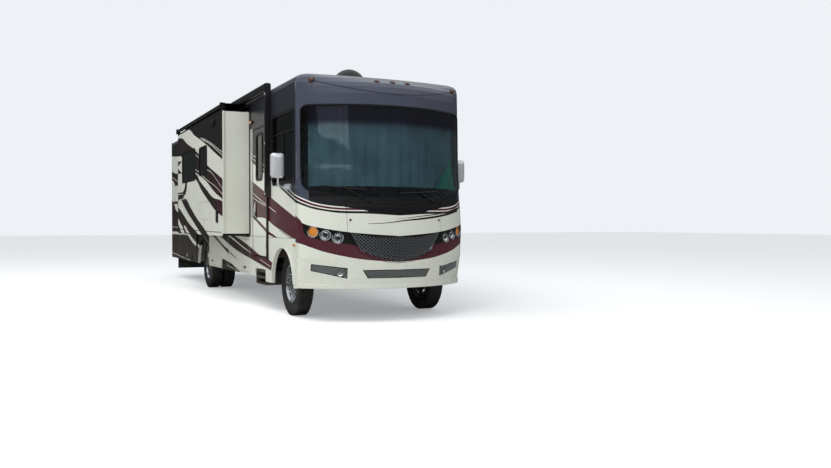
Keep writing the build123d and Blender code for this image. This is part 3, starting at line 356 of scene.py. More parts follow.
# %% Edges and lines of the front
CORNER_FROM = 5.25              # X behind which the cap turns to the side
FRONT_EDGES = (                 # (distance from the middle round the cap, Z)
    ("cream", ((0.0, 1.49), (0.5, 1.515), (0.8, 1.52), (1.0, 1.55), (1.18, 1.60), (1.3, 1.635),
               (1.59, 1.672))),
    ("black", ((0.0, 1.20), (0.69, 1.255), (1.0, 1.305), (1.30, 1.375), (1.59, 1.445))),
    ("maroon", ((0.0, 0.90), (0.70, 1.085), (1.0, 1.14), (1.20, 1.19), (1.30, 1.25), (1.36, 1.40),
                (1.59, 1.50))),
    ("cream", ((0.0, 0.835), (0.5, 0.875), (0.76, 0.92), (1.0, 0.98), (1.3, 1.08), (1.59, 1.115))),
)
FRONT_LINES = (
    ("pale", 0.016, ((0.55, 1.600), (0.8, 1.603), (1.0, 1.627), (1.2, 1.682), (1.59, 1.782))),
    ("maroon", 0.026, ((0.5, 1.575), (0.8, 1.580), (1.0, 1.604), (1.2, 1.657), (1.59, 1.753))),
    ("pale", 0.014, ((0.45, 1.555), (0.8, 1.560), (1.0, 1.583), (1.2, 1.634), (1.59, 1.728))),
    ("night", 0.026, ((0.30, 1.525), (0.8, 1.540), (1.0, 1.562), (1.2, 1.610), (1.59, 1.700))),
)
HOOD_SWOOSHES = (               # (Y, Z): these run over the hood to the driver's side only
    ("night", ((-0.46, 1.375), (-0.2, 1.390), (0.1, 1.430), (0.36, 1.457), (0.8, 1.514), (1.15, 1.592)),
     ((-0.46, 1.369), (-0.2, 1.380), (0.1, 1.412), (0.36, 1.431), (0.8, 1.484), (1.15, 1.556))),
    ("maroon", ((-0.05, 1.440), (0.36, 1.487), (0.8, 1.541), (1.15, 1.621)),
     ((-0.05, 1.437), (0.36, 1.475), (0.8, 1.525), (1.15, 1.603))),
)
print("front:", len(FRONT_EDGES), "edges,", len(HOOD_SWOOSHES), "thin shapes,",
      len(FRONT_LINES), "pinstripes")

# %% Front graphics as a node group
# A black cowl fills the space between the windshield and the paint.
COWL_TOP, COWL_SIDE = 1.95, 1.22
COWL_LOW = ((0.0, 1.490), (0.3, 1.510), (0.5, 1.560), (0.8, 1.612), (1.0, 1.640), (1.22, 1.705))

front_group, nodes, result = tone_group("front_swooshes")
_, x, y, z = nodes.place()
behind = nodes.math("MAXIMUM", nodes.math("SUBTRACT", CORNER_FROM, x), 0.0)
across = nodes.math("ADD", nodes.math("ABSOLUTE", y), behind)
paints = {"cream": CREAM, "pale": PALE, "maroon": MAROON, "night": NIGHT, "black": BLACK}
colour = painted(nodes, across, z, SLATE, FRONT_EDGES, (), FRONT_LINES, paints)
colour = painted(nodes, y, z, colour, (), HOOD_SWOOSHES, (), paints)
cowl = nodes.every(nodes.above(z, nodes.edge(across, COWL_LOW)), nodes.below(z, COWL_TOP),
                   nodes.below(across, COWL_SIDE))
nodes.put(result, nodes.mix(cowl, colour, BLACK))
print("front swooshes:", len(front_group.nodes), "nodes")

# %% Roof paint as a node group
# The membrane is pale where it faces up, and the moulded edges keep the wall's dark paint.
roof_group, nodes, result = tone_group("roof_paint")
upward = nodes.above(nodes.facing()[2], 0.8)
nodes.put(result, nodes.mix(upward, srgb(52, 54, 62), srgb(200, 198, 190)))
print("roof paint:", len(roof_group.nodes), "nodes")

# %% [markdown]
# ## Effects that several finishes share
# Road dust settles on the lower body, moulded surfaces have a fine grain, and cloth has a
# weave. Each is a group that gives a mask or a height, placed in a material with its own
# sizes.

# %% Dust group
FLOAT = "NodeSocketFloat"
dust_group, nodes, given, result = group("road_dust", ("Top", "Amount"), "Mask", FLOAT)
vector, x, y, z = nodes.place()
low = nodes.math("SUBTRACT", 1.0, nodes.math("DIVIDE", z, given["Top"]), clamp=True)
patches = nodes.ramp(nodes.noise(vector, 3.0, 6.0), 0.35, 0.75)
nodes.put(result, nodes.every(low, patches, given["Amount"]))

# %% Grain and weave groups
grain_group, nodes, given, result = group("moulded_grain", ("Scale",), "Height", FLOAT)
vector, *_ = nodes.place()
nodes.put(result, nodes.noise(vector, given["Scale"], 2.0))

weave_group, nodes, given, result = group("weave", ("Threads",), "Height", FLOAT)
vector, x, y, z = nodes.place()
turn = nodes.math("MULTIPLY", given["Threads"], 2 * math.pi)
warp, weft = (nodes.math("SINE", nodes.math("MULTIPLY", nodes.math("ADD", a, y), turn)) for a in (x, z))
nodes.put(result, nodes.math("MULTIPLY", warp, weft))
print("effects:", dust_group.name, grain_group.name, weave_group.name)


# %% Material helper
BUMP_DEPTH = 0.001
WEAVE_STRENGTH = 0.3
DUSTY_ROUGHNESS = 0.85


def material(name, colour, roughness, metallic=0.0, coat=0.0, dust=0.0, dust_top=1.2,
             dust_colour=srgb(150, 142, 128), grain=0.0, grain_scale=400.0, mottle=0.06,
             transmission=0.0, ior=1.5, threads=0.0, specular=0.5):
    """A finish: base colour with slight mottling, road dust from below and a fine surface grain."""
    made = bpy.data.materials.new(name)
    made.use_nodes = True
    shader = made.node_tree.nodes["Principled BSDF"]
    nodes = Tree(made.node_tree)
    vector, *_ = nodes.place()
    if isinstance(colour, bpy.types.NodeTree):
        base = nodes.add("ShaderNodeGroup", node_tree=colour).outputs["Colour"]
    else:
        base = nodes.add("ShaderNodeRGB").outputs[0]
        base.default_value = colour
    if mottle:
        patches = nodes.ramp(nodes.noise(vector, 2.5, 4.0), 0.3, 0.7)
        base = nodes.mix(patches, base, nodes.mix(mottle, base, (0.0, 0.0, 0.0, 1.0)))
    rough = roughness
    if dust:
        settled = nodes.add("ShaderNodeGroup", {"Top": dust_top, "Amount": dust}, node_tree=dust_group)
        base = nodes.mix(settled.outputs["Mask"], base, dust_colour)
        rough = nodes.ramp(settled.outputs["Mask"], 0.0, 1.0, roughness, DUSTY_ROUGHNESS)
    for used, effect, sizes, strength in ((grain, grain_group, {"Scale": grain_scale}, grain),
                                          (threads, weave_group, {"Threads": threads}, WEAVE_STRENGTH)):
        if used:
            height = nodes.add("ShaderNodeGroup", sizes, node_tree=effect).outputs["Height"]
            bump = nodes.add("ShaderNodeBump", {"Height": height, "Strength": strength,
                                                "Distance": BUMP_DEPTH})
            nodes.put(shader.inputs["Normal"], bump.outputs["Normal"])
    for socket, value in (("Base Color", base), ("Roughness", rough), ("Metallic", metallic),
                          ("Coat Weight", coat), ("Transmission Weight", transmission), ("IOR", ior),
                          ("Specular IOR Level", specular)):
        nodes.put(shader.inputs[socket], value)
    return made


# %% Amber lenses, with painted shade on the brow lamps
# The clearance lamps on the brow are deep set and look darker than the turn lamps: their shade is painted
# into the lens, as a darker amber above BROW_Z.
BROW_Z = 3.3
amber_shade_group, nodes, result = tone_group("amber_with_painted_shade")
*_, z = nodes.place()
# painted shade: above BROW_Z the amber lens colour is darkened for the deep-set brow lamps
nodes.put(result, nodes.mix(nodes.above(z, BROW_Z), srgb(206, 128, 52), srgb(96, 52, 34)))
print("amber lenses are darker above", BROW_Z)

# %% Tail lamps: a white lens at the foot, an amber one over it and the red ones above
TAIL_WHITE_TOP, TAIL_AMBER_TOP = 1.27, 1.39
tail_group, nodes, result = tone_group("tail_tone")
*_, z = nodes.place()
tone = nodes.mix(nodes.below(z, TAIL_AMBER_TOP), srgb(150, 16, 16), srgb(206, 128, 52))
nodes.put(result, nodes.mix(nodes.below(z, TAIL_WHITE_TOP), tone, srgb(226, 226, 226)))

# %% Windshield tint: deep at the top, and fading out lower down
TINT_FROM, TINT_TO = 2.74, 2.82
tint_group, nodes, result = tone_group("windshield_tint")
*_, z = nodes.place()
nodes.put(result, nodes.mix(nodes.ramp(z, TINT_FROM, TINT_TO), srgb(172, 196, 202), srgb(104, 104, 122)))
print("lens and glass tones:", amber_shade_group.name, tail_group.name, tint_group.name)

# %% Finishes of the record's slots: colour, roughness, and what else the finish has
FINE_GRAIN = {"grain": 0.03, "grain_scale": 60.0}
SLOT_FINISHES = {
    "cream_paint": (side_group, 0.34, dict(coat=0.12, specular=0.3, dust=0.3, **FINE_GRAIN)),
    "slate_paint": (front_group, 0.26, dict(coat=0.4, dust=0.2, **FINE_GRAIN)),
    "roof_paint": (roof_group, 0.5, dict(grain=0.15, mottle=0.15)),
    "black_trim": (srgb(24, 24, 26), 0.38, dict(grain=0.15, mottle=0.1)),
    "moulded_plastic": (srgb(212, 210, 204), 0.45, dict(grain=0.2, mottle=0.12)),
    "frame_steel": (srgb(30, 30, 31), 0.6, dict(dust=0.6, grain=0.3, mottle=0.3)),
    "engine_iron": (srgb(70, 70, 72), 0.7, dict(dust=0.4, grain=0.5, mottle=0.4)),
    "polished_steel": (srgb(214, 216, 220), 0.16, dict(metallic=1.0, mottle=0.1)),
    "alloy": (srgb(190, 192, 196), 0.32, dict(metallic=1.0, grain=0.1)),
    "tyre": (srgb(30, 30, 31), 0.75, dict(dust=0.35, dust_top=1.0, dust_colour=srgb(96, 92, 86),
                                          grain=0.4, mottle=0.25)),
    "rubber": (srgb(26, 26, 27), 0.7, dict(dust=0.3, dust_top=0.9, grain=0.3)),
    "floor_panel": (srgb(120, 100, 78), 0.6, dict(grain=0.3)),
    "laminate": (srgb(190, 188, 178), 0.5, dict(dust=0.3, grain=0.2)),
    "tinted_glass": (srgb(108, 128, 124), 0.02, dict(mottle=0.0, transmission=1.0, ior=1.45)),
    "clear_lens": (srgb(238, 240, 240), 0.03, dict(mottle=0.0, transmission=1.0)),
    # the amber lenses carry painted shade: a darker amber above BROW_Z, on the brow lamps
    "amber_lens": (amber_shade_group, 0.15, dict(coat=1.0, mottle=0.0)),
    "red_lens": (tail_group, 0.12, dict(coat=1.0, mottle=0.0)),
    "mirror_shell": (srgb(222, 226, 232), 0.10, dict(metallic=1.0, mottle=0.05)),
    "dash_plastic": (srgb(78, 70, 64), 0.6, dict(grain=0.4)),
    "seat_leather": (srgb(150, 128, 104), 0.5, dict(grain=0.5, grain_scale=250.0)),
    "awning_fabric": (srgb(30, 30, 32), 0.8, dict(grain=0.4, mottle=0.2)),
}
print("finishes of slots:", len(SLOT_FINISHES))

# %% Finishes of the pieces that only the scene has
OWN_FINISHES = {
    "windshield_glass": (tint_group, 0.02, dict(mottle=0.0, transmission=1.0, ior=1.45)),
    "privacy_glass": (srgb(52, 62, 60), 0.02, dict(mottle=0.0, transmission=1.0)),
    "curtain_cloth": (srgb(186, 200, 208), 0.9, dict(mottle=0.35, threads=160.0)),
    "blind_cloth": (srgb(96, 214, 176), 0.8, dict(mottle=0.3, threads=200.0)),
    "topper_cloth": (srgb(30, 30, 32), 0.85, dict(mottle=0.2, threads=220.0)),
    "reflector": (srgb(226, 228, 230), 0.08, dict(metallic=1.0, mottle=0.0)),
    "bright_trim": (srgb(226, 228, 230), 0.18, dict(metallic=0.6, mottle=0.0)),
    "gasket": (srgb(14, 14, 15), 0.45, dict(mottle=0.0)),
    "deep_black": (srgb(8, 8, 9), 0.8, dict(mottle=0.0)),
    "white_trim": (srgb(226, 226, 220), 0.4, dict(mottle=0.05)),
    "lattice": (srgb(150, 152, 156), 0.3, dict(metallic=0.8, mottle=0.05)),
    "satin_black": (srgb(20, 20, 22), 0.35, dict(mottle=0.05)),
    "chrome_shell": (srgb(236, 238, 242), 0.22, dict(metallic=0.5, coat=0.6, mottle=0.04)),
    "screen": (srgb(178, 180, 180), 0.35, dict(metallic=0.7, mottle=0.0)),
}
FINISHES = {name: material(name, colour, roughness, **more)
            for name, (colour, roughness, more) in (SLOT_FINISHES | OWN_FINISHES).items()}
print("finishes:", len(FINISHES))

# %% [markdown]
# ## Finishes on the CAD nodes
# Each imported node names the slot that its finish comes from. The front cap, the hood and
# the brow share one paint scheme, which follows the cap round, so they take the cap's.

# %% Finishes on the nodes
slot_of = {part["node"]: part["material_slot"] for part in frame["record"]["subparts"]}
FINISH_OF = dict.fromkeys(("front_fascia", "upper_cap", "front_hood"), "slate_paint")
FINISH_OF |= dict.fromkeys(("side_glass", "slide_glass_curb", "slide_glass_road", "entry_door_glass"),
                           "privacy_glass")
FINISH_OF |= {"roof": "roof_paint", "windshield": "windshield_glass"}
for name, node in frame["nodes"].items():
    node.data.materials.clear()
    node.data.materials.append(FINISHES[FINISH_OF.get(name, slot_of[name])])
    node.data.polygons.foreach_set("material_index", [0] * len(node.data.polygons))
print("nodes with a finish:", len(frame["nodes"]))

# %% [markdown]
# ## Mesh helpers
# Most trim is made of three kinds of form: a profile turned round an axle, a profile
# carried along a path, and a block with rounded edges. Each helper makes a finished mesh
# in the coach's own place, gives it a material and lets it ride on its body.


# %% Baking modifiers
def bake_modifiers(made):
    """Replaces an object's mesh by the result of its modifiers."""
    evaluated = made.evaluated_get(bpy.context.evaluated_depsgraph_get())
    mesh = bpy.data.meshes.new_from_object(evaluated)
    made.modifiers.clear()
    old = made.data
    made.data = mesh
    bpy.data.meshes.remove(old)


def modified(made, kind, **settings):
    """Adds one modifier with its settings and bakes it."""
    modifier = made.modifiers.new(kind.lower(), kind)
    for key, value in settings.items():
        setattr(modifier, key, value)
    bake_modifiers(made)


# %% Finished pieces
SMOOTH_ANGLE = math.radians(35)


def finish_piece(name, builder, finish, body, bevel=0.0, smooth=True):
    """Turns a bmesh into a finished object that rides on a body."""
    bmesh.ops.remove_doubles(builder, verts=builder.verts, dist=1e-5)
    bmesh.ops.recalc_face_normals(builder, faces=builder.faces)
    mesh = bpy.data.meshes.new(name)
    builder.to_mesh(mesh)
    builder.free()
    made = bpy.data.objects.new(name, mesh)
    bpy.context.scene.collection.objects.link(made)
    made.data.materials.append(FINISHES[finish])
    if bevel:
        modified(made, "BEVEL", width=bevel, segments=2, limit_method="ANGLE")
    if smooth:
        made.data.polygons.foreach_set("use_smooth", [True] * len(made.data.polygons))
        made.data.set_sharp_from_angle(angle=SMOOTH_ANGLE)
    if body:
        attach(made, body)
    return made


def stands_for(node):
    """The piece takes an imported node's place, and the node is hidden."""
    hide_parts(node)


# %% Blocks and grids
def add_block(builder, low, high):
    """A block between two corners."""
    centre = [(a + b) / 2 for a, b in zip(low, high)]
    scale = [abs(b - a) for a, b in zip(low, high)]
    matrix = Matrix.Translation(centre) @ Matrix.Diagonal((*scale, 1.0))
    bmesh.ops.create_cube(builder, size=1.0, matrix=matrix)


def blocks(name, corners, finish, body, bevel=0.004):
    """One piece of several blocks with rounded edges."""
    builder = bmesh.new()
    for low, high in corners:
        add_block(builder, low, high)
    return finish_piece(name, builder, finish, body, bevel)


def add_grid(builder, rows):
    """A surface through rows of points."""
    grid = [[builder.verts.new(point) for point in row] for row in rows]
    for a, b in zip(grid, grid[1:]):
        for i in range(len(a) - 1):
            builder.faces.new((a[i], a[i + 1], b[i + 1], b[i]))


def add_rings(builder, rings, closed):
    """A skin over rings of points, in which closed joins the last ring to the first."""
    rings = [[builder.verts.new(point) for point in ring] for ring in rings]
    for a, b in list(zip(rings, rings[1:])) + ([(rings[-1], rings[0])] if closed else []):
        for k in range(len(a)):
            builder.faces.new((a[k], a[(k + 1) % len(a)], b[(k + 1) % len(a)], b[k]))
    return rings


# %% Turned forms
def add_lathe(builder, profile, centre, steps=64, closed=True, axis=(0.0, 1.0, 0.0)):
    """A (radius, along) profile turned round an axle through centre."""
    axis = Vector(axis).normalized()
    first = axis.orthogonal().normalized()
    second = axis.cross(first)
    turns = [2 * math.pi * k / steps for k in range(steps)]
    spokes = [first * math.cos(a) + second * math.sin(a) for a in turns]
    add_rings(builder, [[Vector(centre) + spoke * radius + axis * along for spoke in spokes]
                        for radius, along in profile], closed)


def lathe(name, profile, centre, finish, body, steps=64, closed=True, axis=(0.0, 1.0, 0.0)):
    builder = bmesh.new()
    add_lathe(builder, profile, centre, steps, closed, axis)
    return finish_piece(name, builder, finish, body)


# %% Swept forms
def add_sweep(builder, path, section, closed=False, up=Vector((0, 0, 1))):
    """A closed section of (sideways, upward) points carried along a path.

    up is one direction for the whole path, or one for each of its points."""
    path = [Vector(p) for p in path]
    ups = up if isinstance(up, list) else [up] * len(path)
    count = len(path)
    rings = []
    for i, point in enumerate(path):
        before = path[i - 1] if closed or i else path[0]
        after = path[(i + 1) % count] if closed or i < count - 1 else path[-1]
        along = (after - before).normalized()
        side = along.cross(ups[i]).normalized()
        lift = side.cross(along)
        rings.append([point + side * a + lift * b for a, b in section])
    rings = add_rings(builder, rings, closed)
    if not closed:
        builder.faces.new(rings[0])
        builder.faces.new(rings[-1])


def sweep(name, path, section, finish, body, closed=False, up=Vector((0, 0, 1))):
    builder = bmesh.new()
    add_sweep(builder, path, section, closed, up)
    return finish_piece(name, builder, finish, body)


# %% Sections for the swept forms
def circle(radius, steps=10):
    turns = [2 * math.pi * k / steps for k in range(steps)]
    return [(radius * math.cos(a), radius * math.sin(a)) for a in turns]


def flat_strip(width, depth):
    """A rectangular section: width across the path, depth square to the wall."""
    return [(-width / 2, 0.0), (width / 2, 0.0), (width / 2, depth), (-width / 2, depth)]


def square_bar(bar):
    """A square section round the path."""
    return [(a * bar / 2, b * bar / 2) for a, b in ((-1, -1), (1, -1), (1, 1), (-1, 1))]


def rounded_outline(x0, x1, z0, z1, radius, steps=6):
    """Points of a rounded rectangle in X and Z."""
    points = []
    for cx, cz, start in ((x1 - radius, z1 - radius, 0), (x0 + radius, z1 - radius, 90),
                          (x0 + radius, z0 + radius, 180), (x1 - radius, z0 + radius, 270)):
        for k in range(steps + 1):
            a = math.radians(start + 90 * k / steps)
            points.append((cx + radius * math.cos(a), cz + radius * math.sin(a)))
    return points


# %% Trim on the side walls
WALL_Y = 1.295                  # outer face of the side walls


def wall_loop(name, opening, out, sign, finish, body, width, depth, radius=0.06, wall=WALL_Y):
    """A flat strip at a height over a side wall, round an opening given as (x0, x1, z0, z1)."""
    path = [(x, sign * (wall + out), z) for x, z in rounded_outline(*opening, radius)]
    return sweep(name, path, flat_strip(width, depth), finish, body, closed=True, up=Vector((0, sign, 0)))


def wall_blocks(name, boxes, finish, body, bevel, sign=-1, wall=WALL_Y):
    """Blocks on a side wall: (x0, x1), (from, to) outward from the wall, (z0, z1) of each."""
    blocks(name, [((x[0], sign * (wall + out[0]), z[0]), (x[1], sign * (wall + out[1]), z[1]))
                  for x, out, z in boxes], finish, body, bevel)


# %% Forms that follow the nose
SURFACES = {}


def hit(node_name, start, way):
    """Where a line meets a CAD node's surface, and the surface's direction there."""
    if node_name not in SURFACES:
        mesh = frame["nodes"][node_name].data
        SURFACES[node_name] = BVHTree.FromPolygons([v.co[:] for v in mesh.vertices],
                                                   [p.vertices[:] for p in mesh.polygons])
    return SURFACES[node_name].ray_cast(Vector(start), Vector(way))[:2]


def nose_point(node_name, y, z):
    """Where a line along X meets the front of a CAD node, and the surface's direction there."""
    return hit(node_name, (7.0, y, z), (-1.0, 0.0, 0.0))


def flat_way(normal):
    """A surface's direction, made level."""
    return Vector((normal.x, normal.y, 0.0)).normalized()


# %% Plates that follow the nose
def nose_patch(name, node_name, corners, lift, finish, body, columns=24, rows=3, thick=0.003):
    """A thin plate that follows the nose between four (Y, Z) corners, moved forward by lift.

    The corners go round: lower start, lower end, upper end, upper start."""
    def between(a, b, share):
        return [p + (q - p) * share for p, q in zip(a, b)]

    grid = []
    for v in np.linspace(0.0, 1.0, rows + 1):
        line = [between(between(corners[0], corners[1], u), between(corners[3], corners[2], u), v)
                for u in np.linspace(0.0, 1.0, columns + 1)]
        grid.append([nose_point(node_name, y, z)[0] + Vector((lift, 0.0, 0.0)) for y, z in line])
    builder = bmesh.new()
    add_grid(builder, grid)
    made = finish_piece(name, builder, finish, None)
    modified(made, "SOLIDIFY", thickness=thick, offset=0.0)
    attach(made, body)


# %% [markdown]
# ## Tyres
# A highway tyre has five ribs cut into blocks, and its sidewall bulges out to a bead that
# grips the rim. The casing is one turned profile. The tread blocks repeat, so Geometry
# Nodes place one block on every step of each rib, and the result becomes a plain mesh.

# %% Tyre sizes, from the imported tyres
tyre_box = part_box("front_tyre_road")
TYRE_R = (tyre_box[1][2] - tyre_box[0][2]) / 2
TYRE_W = tyre_box[1][1] - tyre_box[0][1]
FRONT_X = (tyre_box[0][0] + tyre_box[1][0]) / 2
FRONT_Y = (tyre_box[0][1] + tyre_box[1][1]) / 2
rear_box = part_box("rear_tyres_road")
REAR_X = (rear_box[0][0] + rear_box[1][0]) / 2
DUAL_Y = (rear_box[0][1] + TYRE_W / 2, rear_box[1][1] - TYRE_W / 2)
RIM_R = 0.286
TREAD_DEPTH = 0.010
TREAD_HALF = 0.100
RIBS = 5
BLOCKS_ROUND = 72
print(f"tyre: {TYRE_R:.3f} m radius, {TYRE_W:.3f} m wide")

CASING = [               # radius, distance from the middle
    (RIM_R + 0.004, 0.078), (RIM_R + 0.012, 0.086), (RIM_R + 0.022, 0.092), (RIM_R + 0.030, 0.098),
    (RIM_R + 0.060, 0.111), (0.372, 0.1155), (0.392, TYRE_W / 2), (0.412, 0.1155), (0.432, 0.1125),
    (0.448, 0.108), (0.458, 0.104), (TYRE_R - 0.012, 0.098), (TYRE_R - TREAD_DEPTH, 0.088),
]


# %% One rib of the tread
TREAD_INPUTS = (("Radius", "Float"), ("Half Width", "Float"), ("Depth", "Float"), ("Middle", "Vector"),
                ("Finish", "Material"))
BLOCK_LONG, BLOCK_WIDE, BLOCK_TALL = 0.86, 0.80, 1.6     # shares of the step, the rib and the depth


def tread_rib(nodes, given, rib, rib_step):
    """One rib: a block on every step of a ring, pushed along the axle to the rib's place."""
    ring = nodes.add("GeometryNodeCurvePrimitiveCircle", {"Radius": given["Radius"]})
    dots = nodes.add("GeometryNodeCurveToPoints", {0: ring.outputs["Curve"], "Count": BLOCKS_ROUND})
    block_size = nodes.add("ShaderNodeCombineXYZ", {
        "X": nodes.math("MULTIPLY", given["Depth"], BLOCK_TALL),
        "Y": nodes.math("MULTIPLY", given["Radius"], 2 * math.pi / BLOCKS_ROUND * BLOCK_LONG),
        "Z": nodes.math("MULTIPLY", rib_step, BLOCK_WIDE)})
    block = nodes.add("GeometryNodeMeshCube", {"Size": block_size.outputs[0]})
    place = nodes.add("GeometryNodeInputPosition").outputs[0]
    spin = nodes.add("FunctionNodeAlignRotationToVector", {"Vector": place}, axis="X", pivot_axis="Z")
    placed = nodes.add("GeometryNodeInstanceOnPoints", {
        "Points": dots.outputs["Points"], "Instance": block.outputs["Mesh"], "Rotation": spin.outputs[0]})
    offset = nodes.add("ShaderNodeCombineXYZ", {"Z": nodes.math("MULTIPLY", rib_step, rib - (RIBS - 1) / 2)})
    turn = (0.0, 0.0, math.pi / BLOCKS_ROUND * (rib % 2))
    return nodes.add("GeometryNodeTransform", {"Geometry": placed.outputs["Instances"],
                                               "Translation": offset.outputs[0], "Rotation": turn}).outputs[0]


# %% The whole tread
def tread_tree():
    """Blocks on every step of each rib: inputs are the radius, width, depth, place and finish."""
    tree = bpy.data.node_groups.new("tread_blocks", "GeometryNodeTree")
    for socket, kind in TREAD_INPUTS:
        tree.interface.new_socket(socket, in_out="INPUT", socket_type="NodeSocket" + kind)
    tree.interface.new_socket("Geometry", in_out="OUTPUT", socket_type="NodeSocketGeometry")
    nodes = Tree(tree)
    given = nodes.add("NodeGroupInput").outputs
    rib_step = nodes.math("DIVIDE", given["Half Width"], RIBS / 2)
    joined = nodes.add("GeometryNodeJoinGeometry")
    for rib in range(RIBS):
        tree.links.new(tread_rib(nodes, given, rib, rib_step), joined.inputs[0])
    upright = nodes.add("GeometryNodeTransform", {
        "Geometry": joined.outputs[0], "Translation": given["Middle"], "Rotation": (math.pi / 2, 0.0, 0.0)})
    real = nodes.add("GeometryNodeRealizeInstances", {0: upright.outputs[0]})
    finish = nodes.add("GeometryNodeSetMaterial", {"Geometry": real.outputs[0], "Material": given["Finish"]})
    nodes.put(nodes.add("NodeGroupOutput").inputs[0], finish.outputs[0])
    return tree


TREAD = tread_tree()
print("tread tree:", len(TREAD.nodes), "nodes")


# %% Running a tree and joining pieces
def run_tree(name, tree, values):
    """Evaluates a Geometry Nodes tree with the given inputs, as a plain mesh."""
    holder = bpy.data.objects.new(name, bpy.data.meshes.new(name))
    bpy.context.scene.collection.objects.link(holder)
    modifier = holder.modifiers.new("tree", "NODES")
    modifier.node_group = tree
    sockets = {item.name: item.identifier for item in tree.interface.items_tree
               if item.item_type == "SOCKET" and item.in_out == "INPUT"}
    for key, value in values.items():
        modifier[sockets[key]] = value
    bake_modifiers(holder)
    return holder


def join_into(target, others):
    """Adds other objects' meshes to the target's mesh and removes them."""
    builder = bmesh.new()
    builder.from_mesh(target.data)
    for other in others:
        builder.from_mesh(other.data)
        bpy.data.objects.remove(other)
    builder.to_mesh(target.data)
    builder.free()


# %% Build the tyres
def tyre(name, body, axle_x, middles, node):
    """One tyre, or twins on one wheel, each with its tread."""
    builder = bmesh.new()
    profile = CASING + [(r, -w) for r, w in reversed(CASING)]
    for middle in middles:
        add_lathe(builder, profile, (axle_x, middle, TYRE_R), steps=96)
    made = finish_piece(name, builder, "tyre", None)
    treads = [run_tree(name + "_tread", TREAD, {
        "Radius": TYRE_R - TREAD_DEPTH * 0.8, "Half Width": TREAD_HALF, "Depth": TREAD_DEPTH,
        "Middle": (axle_x, middle, TYRE_R), "Finish": FINISHES["tyre"]}) for middle in middles]
    join_into(made, treads)
    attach(made, body)
    stands_for(node)
    print(name, "has", len(made.data.polygons), "faces")


for side, sign in SIDES:
    tyre(f"road_tyre_front_{side}", f"front_wheel_{side}", FRONT_X, [sign * FRONT_Y], f"front_tyre_{side}")
    tyre(f"road_tyres_rear_{side}", f"rear_wheels_{side}", REAR_X, [sign * y for y in DUAL_Y],
         f"rear_tyres_{side}")

# %% [markdown]
# ## Wheel nuts and hub caps
# Ten chromed nut covers stand on each disc in a ring, with a domed hub cap at the middle
# of the front wheels. One nut is a small turned form, repeated round the bolt circle.

# %% Wheel nuts
BOLT_CIRCLE_R = 0.1425
NUTS = 10
NUT_PROFILE = [(0.0, 0.050), (0.010, 0.049), (0.0155, 0.042), (0.017, 0.010), (0.020, 0.0), (0.0, 0.0)]
HUB_CAP = [(0.0, 0.058), (0.030, 0.056), (0.052, 0.046), (0.064, 0.028), (0.068, 0.0), (0.0, 0.0)]
FRONT_DISC, FRONT_HUB, REAR_DISC = 0.067, 0.058, -0.132     # faces, outward from the tyre's middle


def wheel_nuts(name, axle_x, face_y, sign, body):
    """Nut covers on the bolt circle, standing outward from the disc's face."""
    builder = bmesh.new()
    for k in range(NUTS):
        a = 2 * math.pi * k / NUTS
        centre = (axle_x + BOLT_CIRCLE_R * math.cos(a), sign * face_y, TYRE_R + BOLT_CIRCLE_R * math.sin(a))
        add_lathe(builder, [(r, sign * y) for r, y in NUT_PROFILE], centre, steps=12, closed=False)
    made = finish_piece(name, builder, "polished_steel", body)


for side, sign in SIDES:
    wheel_nuts(f"nuts_front_{side}", FRONT_X, FRONT_Y + FRONT_DISC, sign, f"front_wheel_{side}")
    cap = lathe(f"hub_cap_front_{side}", [(r, sign * y) for r, y in HUB_CAP],
                (FRONT_X, sign * (FRONT_Y + FRONT_HUB), TYRE_R), "polished_steel", f"front_wheel_{side}", 48,
                closed=False)
    wheel_nuts(f"nuts_rear_{side}", REAR_X, DUAL_Y[1] + REAR_DISC, sign, f"rear_wheels_{side}")
print("wheel nuts:", 4 * NUTS)

# %% [markdown]
# ## Windshield
# The one-piece windshield sits in a black rubber gasket. Behind it hangs the privacy
# curtain, drawn across the cab in soft folds, and a shade covers the top. The gasket's path
# is the opening's outline, thrown back onto the glass so that it follows the curve.

# %% Outline of the glass
GLASS_SIDE_Y, GLASS_TOP_Z = 1.262, 3.040
GLASS_LOW_R, GLASS_TOP_R = 0.160, 0.090
GLASS_BASE = (1.680, 1.855)     # height of the lower edge in the middle and at the sides
GASKET_IN, GASKET_W, GASKET_T = 0.008, 0.022, 0.007


def arc_height(y, z0, y1, z1):
    """Height at y of an arc through its middle point at z0 and two mirrored ends at (y1, z1)."""
    rise = z1 - z0
    radius = (y1 ** 2 + rise ** 2) / (2 * rise)
    return z0 + radius - math.sqrt(radius ** 2 - y ** 2)


def glass_base(y):
    """Height of the windshield's lower edge, an arc."""
    return arc_height(y, GLASS_BASE[0], GLASS_SIDE_Y, GLASS_BASE[1])


def glass_outline(inset):
    """Points of the windshield's outline in front view, set in from its edge: one half, then its mirror."""
    side, top = GLASS_SIDE_Y - inset, GLASS_TOP_Z - inset
    low_r, top_r = GLASS_LOW_R - inset, GLASS_TOP_R - inset
    corner_z = glass_base(side - low_r) + inset + low_r
    half = [(y, glass_base(y) + inset) for y in np.linspace(0.0, side - low_r, 20)]
    half += [(side - low_r + low_r * math.sin(a), corner_z - low_r * math.cos(a))
             for a in np.linspace(0.2, math.pi / 2, 7)]
    half += [(side, z) for z in np.linspace(corner_z + 0.05, top - top_r - 0.05, 14)]
    half += [(side - top_r + top_r * math.cos(a), top - top_r + top_r * math.sin(a))
             for a in np.linspace(0.0, math.pi / 2, 7)]
    half += [(y, top) for y in np.linspace(side - top_r - 0.05, 0.0, 20)]
    return half + [(-y, z) for y, z in half[-2:0:-1]]


# %% Gasket
gasket = [nose_point("windshield", y, z) for y, z in glass_outline(GASKET_IN)]
gasket = [(point, normal) for point, normal in gasket if point is not None]
sweep("windshield_gasket", [point for point, _ in gasket], flat_strip(GASKET_W, GASKET_T), "gasket", "coach",
      closed=True, up=[normal for _, normal in gasket])
print("gasket:", len(gasket), "points")

# %% Curtain helper
FOLD_STEPS, HANG_STEPS = 10, 20         # columns in one fold, and rows from hem to rail


